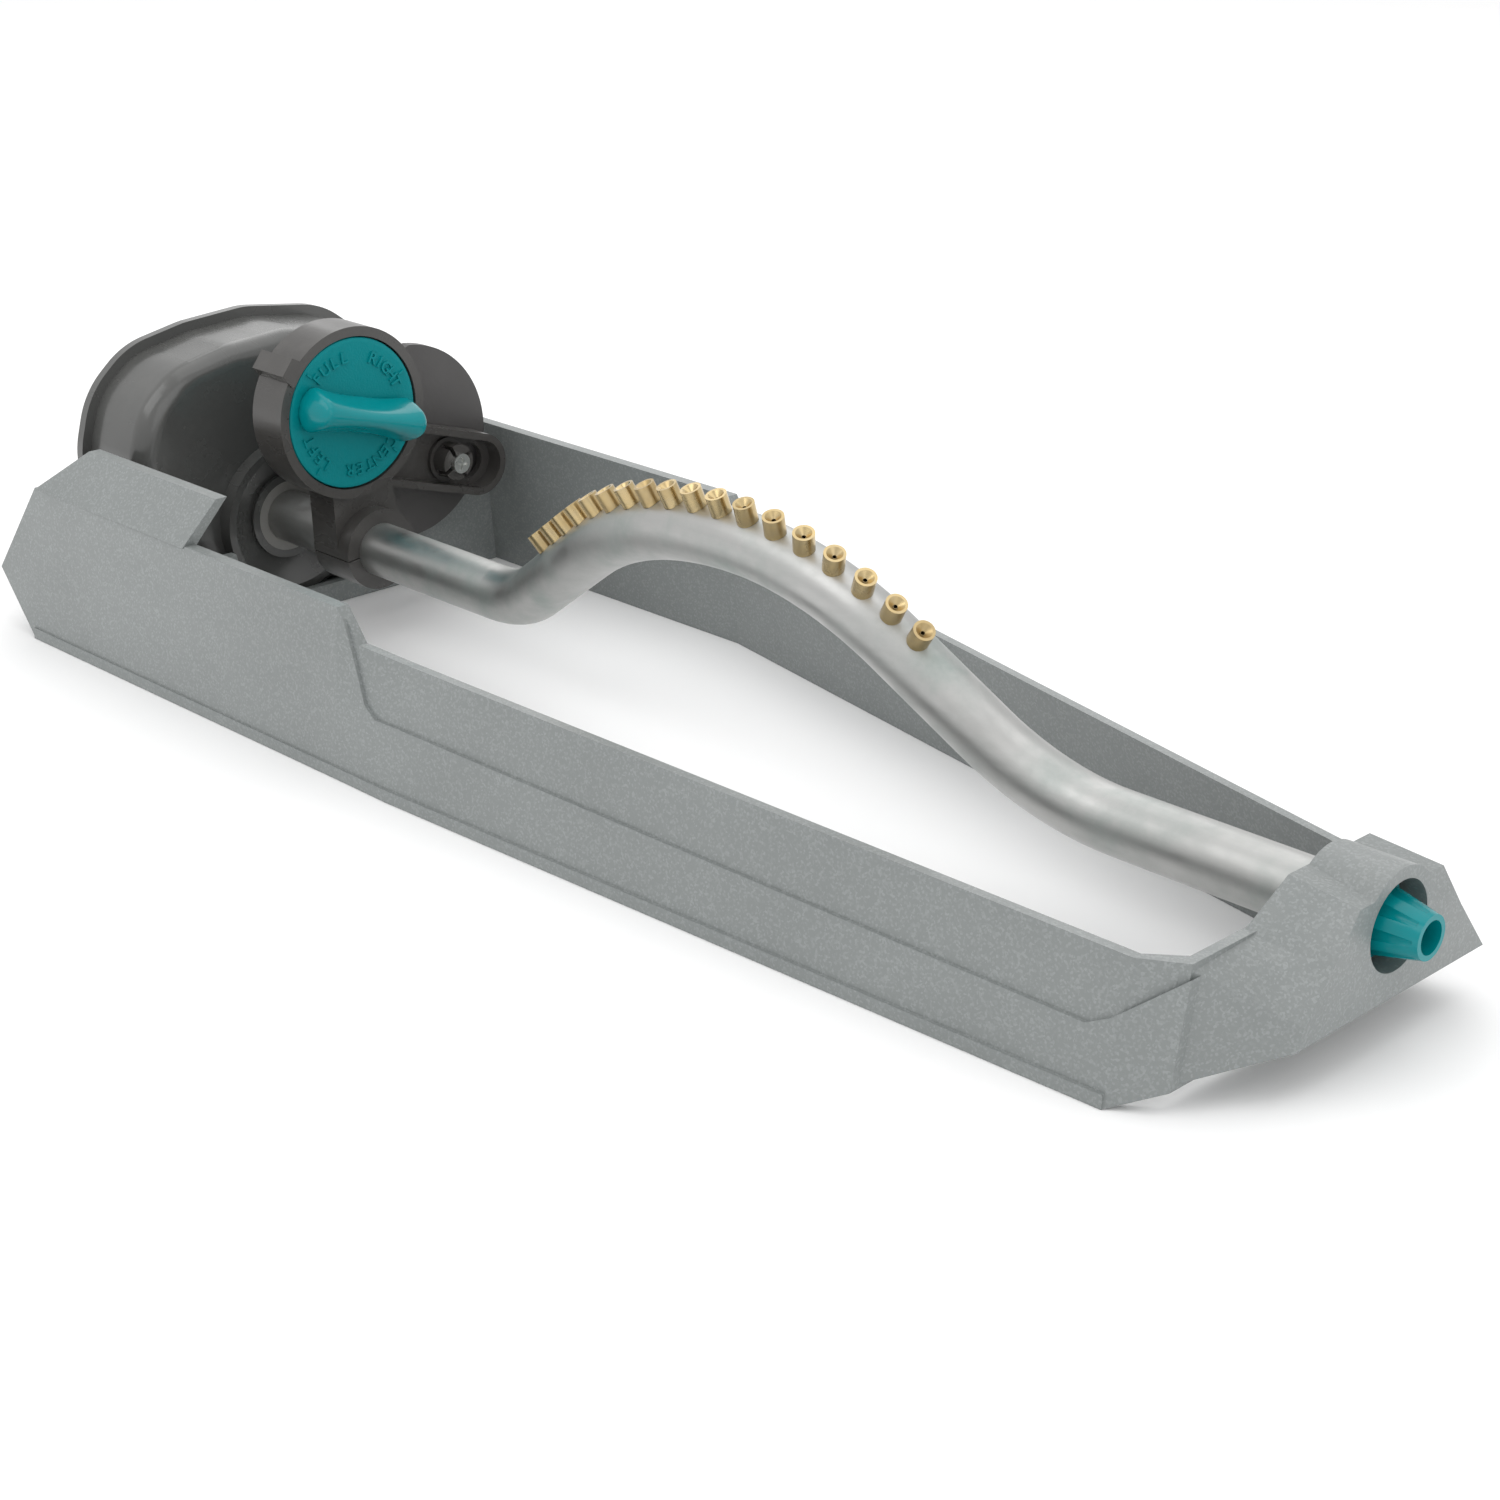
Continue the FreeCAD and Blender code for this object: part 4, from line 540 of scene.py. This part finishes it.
class MESH_OT_sprinkler_inside(bpy.types.Operator):
    """Finish the gear train, seals and turbine inside the motor."""

    bl_idname = "mesh.sprinkler_inside"
    bl_label = "Gears and seals"

    def execute(self, context):
        for node in ("output_gear", "second_gear", "first_gear", "turbine_wheel",
                     "turbine_pinion", "jet_ring", "tube_collar"):
            dress(node, "natural", 0.0001)
        for node in ("tube_o_ring", "shaft_seal", "hose_washer", "plug_seal"):
            dress(node, "rubber")
        for node in ("gear_pins", "output_shaft", "turbine_shaft", "filter_screen", "link_pin"):
            dress(node, "steel", 0.0001)
        return {"FINISHED"}


class MESH_OT_sprinkler_tube(bpy.types.Operator):
    """Finish the spray tube and its nozzles."""

    bl_idname = "mesh.sprinkler_tube"
    bl_label = "Spray tube"

    def execute(self, context):
        dress("spray_tube", "tube")
        dress("nozzles", "brass", 0.0002)
        return {"FINISHED"}


class MESH_OT_sprinkler_lever(bpy.types.Operator):
    """Finish the lever and its clamp."""

    bl_idname = "mesh.sprinkler_lever"
    bl_label = "Lever"

    def execute(self, context):
        sizes = context.scene.sprinkler_sizes
        dress("tube_lever", "lever", 1.6 * sizes.small_edge, 35)
        dress("clamp_cap", "lever", 1.6 * sizes.small_edge, 35)
        return {"FINISHED"}


class MESH_OT_sprinkler_link(bpy.types.Operator):
    """Finish the link, the snap boss, its screw and the crank disc."""

    bl_idname = "mesh.sprinkler_link"
    bl_label = "Link and crank"

    def execute(self, context):
        sizes = context.scene.sprinkler_sizes
        dress("link_arm", "lever", sizes.small_edge, 35)
        dress("slot_boss", "lever", 0.5 * sizes.small_edge, 35)
        dress("crank_disc", "crank", sizes.small_edge, 35)
        dress("boss_screw", "zinc", 0.0002)
        return {"FINISHED"}


# word, middle angle and angle between letters, in degrees anticlockwise from +Y
WORDS = (("FULL", 116.0, 12.1), ("RIGHT", 42.7, 9.8), ("CENTER", -68.7, 11.8),
         ("LEFT", -145.0, 10.8))
MARKS = (137.0, 27.0, -132.0, -44.0)


class MESH_OT_sprinkler_dial(bpy.types.Operator):
    """Make the dial: rimmed face, raised words, marks and the waisted grip."""

    bl_idname = "mesh.sprinkler_dial"
    bl_label = "Dial"

    def execute(self, context):
        sizes = context.scene.sprinkler_sizes
        low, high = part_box("dial")
        radius = (high[1] - low[1]) / 2
        face_x = high[0] - CAD_GRIP_HEIGHT * MM

        def face(work):
            profile = [(face_x - depth * MM, 0 if inset is None else radius - inset * MM)
                       for depth, inset in FACE_PROFILE]
            lathe(work, profile, DIAL_Y, DIAL_Z)

        disc = piece("dial_face_disc", face, "dial", "dial")
        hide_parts("dial")

        def hub(work):
            back = low[0] + 0.05 * MM
            lathe(work, [(back, 0), (back, (HUB_RADIUS - HUB_EDGE) * MM),
                         (back + HUB_EDGE * MM, HUB_RADIUS * MM),
                         (face_x - 4.1 * MM, HUB_RADIUS * MM), (face_x - 4.0 * MM, 0)],
                  DIAL_Y, DIAL_Z)

        piece("dial_hub", hub, "dial", "dial")
        self.grip(sizes, face_x)
        self.words(sizes, face_x)
        return {"FINISHED"}

    def grip(self, sizes, face_x):
        """The bar across the dial: narrow in the middle, rounded at both ends."""
        turn = math.radians(GRIP_TURN)
        half = sizes.grip_length / 2
        rings = []
        for i in range(GRIP_STEPS + 1):
            t = -1.0 + 2.0 * i / GRIP_STEPS
            out = half * t
            end_round = math.sqrt(max(0.0, 1 - max(0.0, (abs(t) - 0.82) / 0.18) ** 2))
            width = (3.6 + 2.7 * t * t) * MM * max(0.16, end_round)
            height = (0.93 + 0.07 * (t + 1) / 2) * sizes.grip_height
            height *= 0.94 + 0.06 * t * t
            height *= max(0.3, end_round ** 0.5)
            flare = 1.3 + 0.5 * (1 - abs(t))
            ring = []
            for j in range(GRIP_POINTS):
                angle = math.pi * j / (GRIP_POINTS - 1)
                across = width * math.cos(angle)
                up = height * math.sin(angle) ** 0.55
                spread = 1.0 + (flare - 1.0) * (1 - math.sin(angle)) ** 4
                ring.append(on_dial(out, across * spread, face_x - 0.6 * MM + up, turn))
            rings.append(ring)

        def bar(work):
            loft(work, rings)

        obj = piece("dial_grip", bar, "grip", "dial", 75)
        soft = obj.modifiers.new("soft", "SUBSURF")
        soft.levels = 1
        soft.render_levels = 2

    def words(self, sizes, face_x):
        """All the raised words and the marks beside them, as one piece."""
        parts = []
        for word, middle, step in WORDS:
            count = len(word)
            for i, letter in enumerate(word):
                angle = math.radians(middle + step * ((count - 1) / 2 - i))
                parts.append(self.letter(letter, angle, sizes, face_x))
        for angle in MARKS:
            parts.append(self.mark(math.radians(angle), face_x))
        joined = bmesh.new()
        for mesh in parts:
            joined.from_mesh(mesh)
        data = bpy.data.meshes.new("dial_words")
        joined.to_mesh(data)
        joined.free()
        data.shade_smooth()
        data.set_sharp_from_angle(angle=math.radians(30))
        obj = bpy.data.objects.new("dial_words", data)
        bpy.context.scene.collection.objects.link(obj)
        data.materials.append(finish("dial"))
        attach(obj, "dial")

    def letter(self, letter, angle, sizes, face_x):
        """Mesh of one raised letter, its top outward."""
        curve = bpy.data.curves.new("letter", "FONT")
        curve.body = letter
        curve.size = sizes.letter * FONT_SCALE
        curve.align_x = "CENTER"
        curve.align_y = "CENTER"
        curve.extrude = sizes.raise_by
        curve.bevel_depth = LETTER_EDGE
        holder = bpy.data.objects.new("letter", curve)
        bpy.context.scene.collection.objects.link(holder)
        bpy.context.view_layer.update()
        mesh = bpy.data.meshes.new_from_object(
            holder.evaluated_get(bpy.context.evaluated_depsgraph_get()))
        bpy.data.objects.remove(holder)
        outward = Vector((0, math.cos(angle), math.sin(angle)))
        right = Vector((0, math.sin(angle), -math.cos(angle)))
        normal = Vector((1, 0, 0))
        spot = on_dial(WORD_RADIUS * MM, 0, face_x - LETTER_SINK * MM, angle)
        place = Matrix.Identity(4)
        for row in range(3):
            place[row][0], place[row][1] = right[row], outward[row]
            place[row][2], place[row][3] = normal[row], spot[row]
        mesh.transform(place)
        return mesh

    def mark(self, angle, face_x):
        """Mesh of one short raised mark at the rim."""
        work = bmesh.new()
        corners = []
        for out in MARK_REACH:
            for across in (-MARK_HALF_WIDTH, MARK_HALF_WIDTH):
                for rise in MARK_RISE:
                    corners.append(on_dial(out * MM, across * MM, face_x + rise * MM, angle))
        made = [work.verts.new(corner) for corner in corners]
        bmesh.ops.convex_hull(work, input=made)
        mesh = bpy.data.meshes.new("mark")
        work.to_mesh(mesh)
        work.free()
        return mesh


class MESH_OT_sprinkler_ends(bpy.types.Operator):
    """Finish the end plug and the swivel nut."""

    bl_idname = "mesh.sprinkler_ends"
    bl_label = "Plug and hose nut"

    def execute(self, context):
        sizes = context.scene.sprinkler_sizes
        dress("end_plug", "grip", 0.6 * sizes.small_edge, 35)
        dress("swivel_nut", "housing", sizes.small_edge, 35)
        dress("dial_clip", "lever", 0.0002)
        return {"FINISHED"}


class MESH_OT_sprinkler_stage(bpy.types.Operator):
    """Make the floor, the studio lights and the camera."""

    bl_idname = "mesh.sprinkler_stage"
    bl_label = "Stage"

    def execute(self, context):
        settings = context.scene.sprinkler_stage
        self.floor(settings)
        self.world()
        for name, place, size, power, colour in (
                ("key", (-0.25, -1.15, 1.45), (1.6, 1.0), 26, (1, 1, 1)),
                ("fill", (1.35, -0.35, 0.75), (1.1, 1.1), 9, (1, 1, 1)),
                ("top", (0.0, 0.35, 1.6), (1.9, 1.3), 22, (1, 1, 1)),
                ("back", (-0.9, 0.9, 0.9), (1.0, 0.8), 10, (1, 1, 1))):
            self.lamp(name, place, size, power * settings.light, colour)
        camera = bpy.data.cameras.new("camera")
        camera.lens = settings.lens
        camera.sensor_width = 36
        camera.clip_start = 0.01
        holder = bpy.data.objects.new("camera", camera)
        context.scene.collection.objects.link(holder)
        turn, rise = settings.azimuth, settings.elevation
        back = Vector((math.sin(turn) * math.cos(rise), -math.cos(turn) * math.cos(rise),
                       math.sin(rise)))
        holder.location = settings.place
        holder.rotation_mode = "QUATERNION"
        holder.rotation_quaternion = (-back).to_track_quat("-Z", "Y")
        context.scene.camera = holder
        context.scene.view_settings.view_transform = "Standard"
        return {"FINISHED"}

    def floor(self, settings):
        """The pale floor, just under the ground plane."""
        work = bmesh.new()
        size = 6.0
        corners = [work.verts.new((x * size, y * size, -0.0001))
                   for x, y in ((-1, -1), (1, -1), (1, 1), (-1, 1))]
        work.faces.new(corners)
        mesh = bpy.data.meshes.new("floor")
        work.to_mesh(mesh)
        work.free()
        obj = bpy.data.objects.new("floor", mesh)
        bpy.context.scene.collection.objects.link(obj)
        mesh.materials.append(plastic("floor_paper", settings.floor, roughness=0.85, mottle=0.01,
                                      bump=0.02, grain=300.0, dust=0.0))

    def world(self):
        """Even white light from all around."""
        world = bpy.context.scene.world or bpy.data.worlds.new("studio")
        bpy.context.scene.world = world
        world.use_nodes = True
        shade = world.node_tree.nodes["Background"]
        shade.inputs["Color"].default_value = (1, 1, 1, 1)
        shade.inputs["Strength"].default_value = 0.95

    def lamp(self, name, place, size, power, colour):
        """One area light that faces the object."""
        light = bpy.data.lights.new(name, "AREA")
        light.shape = "RECTANGLE"
        light.size, light.size_y = size
        light.energy = power
        light.color = colour
        obj = bpy.data.objects.new(name, light)
        bpy.context.scene.collection.objects.link(obj)
        obj.location = place
        obj.rotation_mode = "QUATERNION"
        obj.rotation_quaternion = (-Vector(place)).to_track_quat("-Z", "Y")


# ---------------------------------------------------------------- panel and registration
STEPS = (
    MESH_OT_sprinkler_stage, MESH_OT_sprinkler_frame, MESH_OT_sprinkler_motor,
    MESH_OT_sprinkler_inside, MESH_OT_sprinkler_tube, MESH_OT_sprinkler_lever,
    MESH_OT_sprinkler_link, MESH_OT_sprinkler_dial, MESH_OT_sprinkler_ends,
)


class VIEW3D_PT_sprinkler(bpy.types.Panel):
    """Sprinkler pieces and settings."""

    bl_idname = "VIEW3D_PT_sprinkler"
    bl_label = "Sprinkler"
    bl_space_type = "VIEW_3D"
    bl_region_type = "UI"
    bl_category = "Sprinkler"

    def draw(self, context):
        scene = context.scene
        for settings in (scene.sprinkler_colours, scene.sprinkler_sizes, scene.sprinkler_stage):
            box = self.layout.box()
            for key in settings.__annotations__:
                box.prop(settings, key)
        for step in STEPS:
            self.layout.operator(step.bl_idname)


CLASSES = (SprinklerColours, SprinklerSizes, SprinklerStageSettings) + STEPS + (
    VIEW3D_PT_sprinkler,)


def register():
    for item in CLASSES:
        bpy.utils.register_class(item)
    bpy.types.Scene.sprinkler_colours = PointerProperty(type=SprinklerColours)
    bpy.types.Scene.sprinkler_sizes = PointerProperty(type=SprinklerSizes)
    bpy.types.Scene.sprinkler_stage = PointerProperty(type=SprinklerStageSettings)


def unregister():
    del bpy.types.Scene.sprinkler_stage
    del bpy.types.Scene.sprinkler_sizes
    del bpy.types.Scene.sprinkler_colours
    for item in reversed(CLASSES):
        bpy.utils.unregister_class(item)


def main():
    register()
    for step in STEPS:
        area, name = step.bl_idname.split(".")
        result = getattr(getattr(bpy.ops, area), name)()
        if "FINISHED" not in result:
            raise RuntimeError(step.bl_label + " was not finished")
    bpy.context.view_layer.update()


if __name__ == "__main__":
    main()
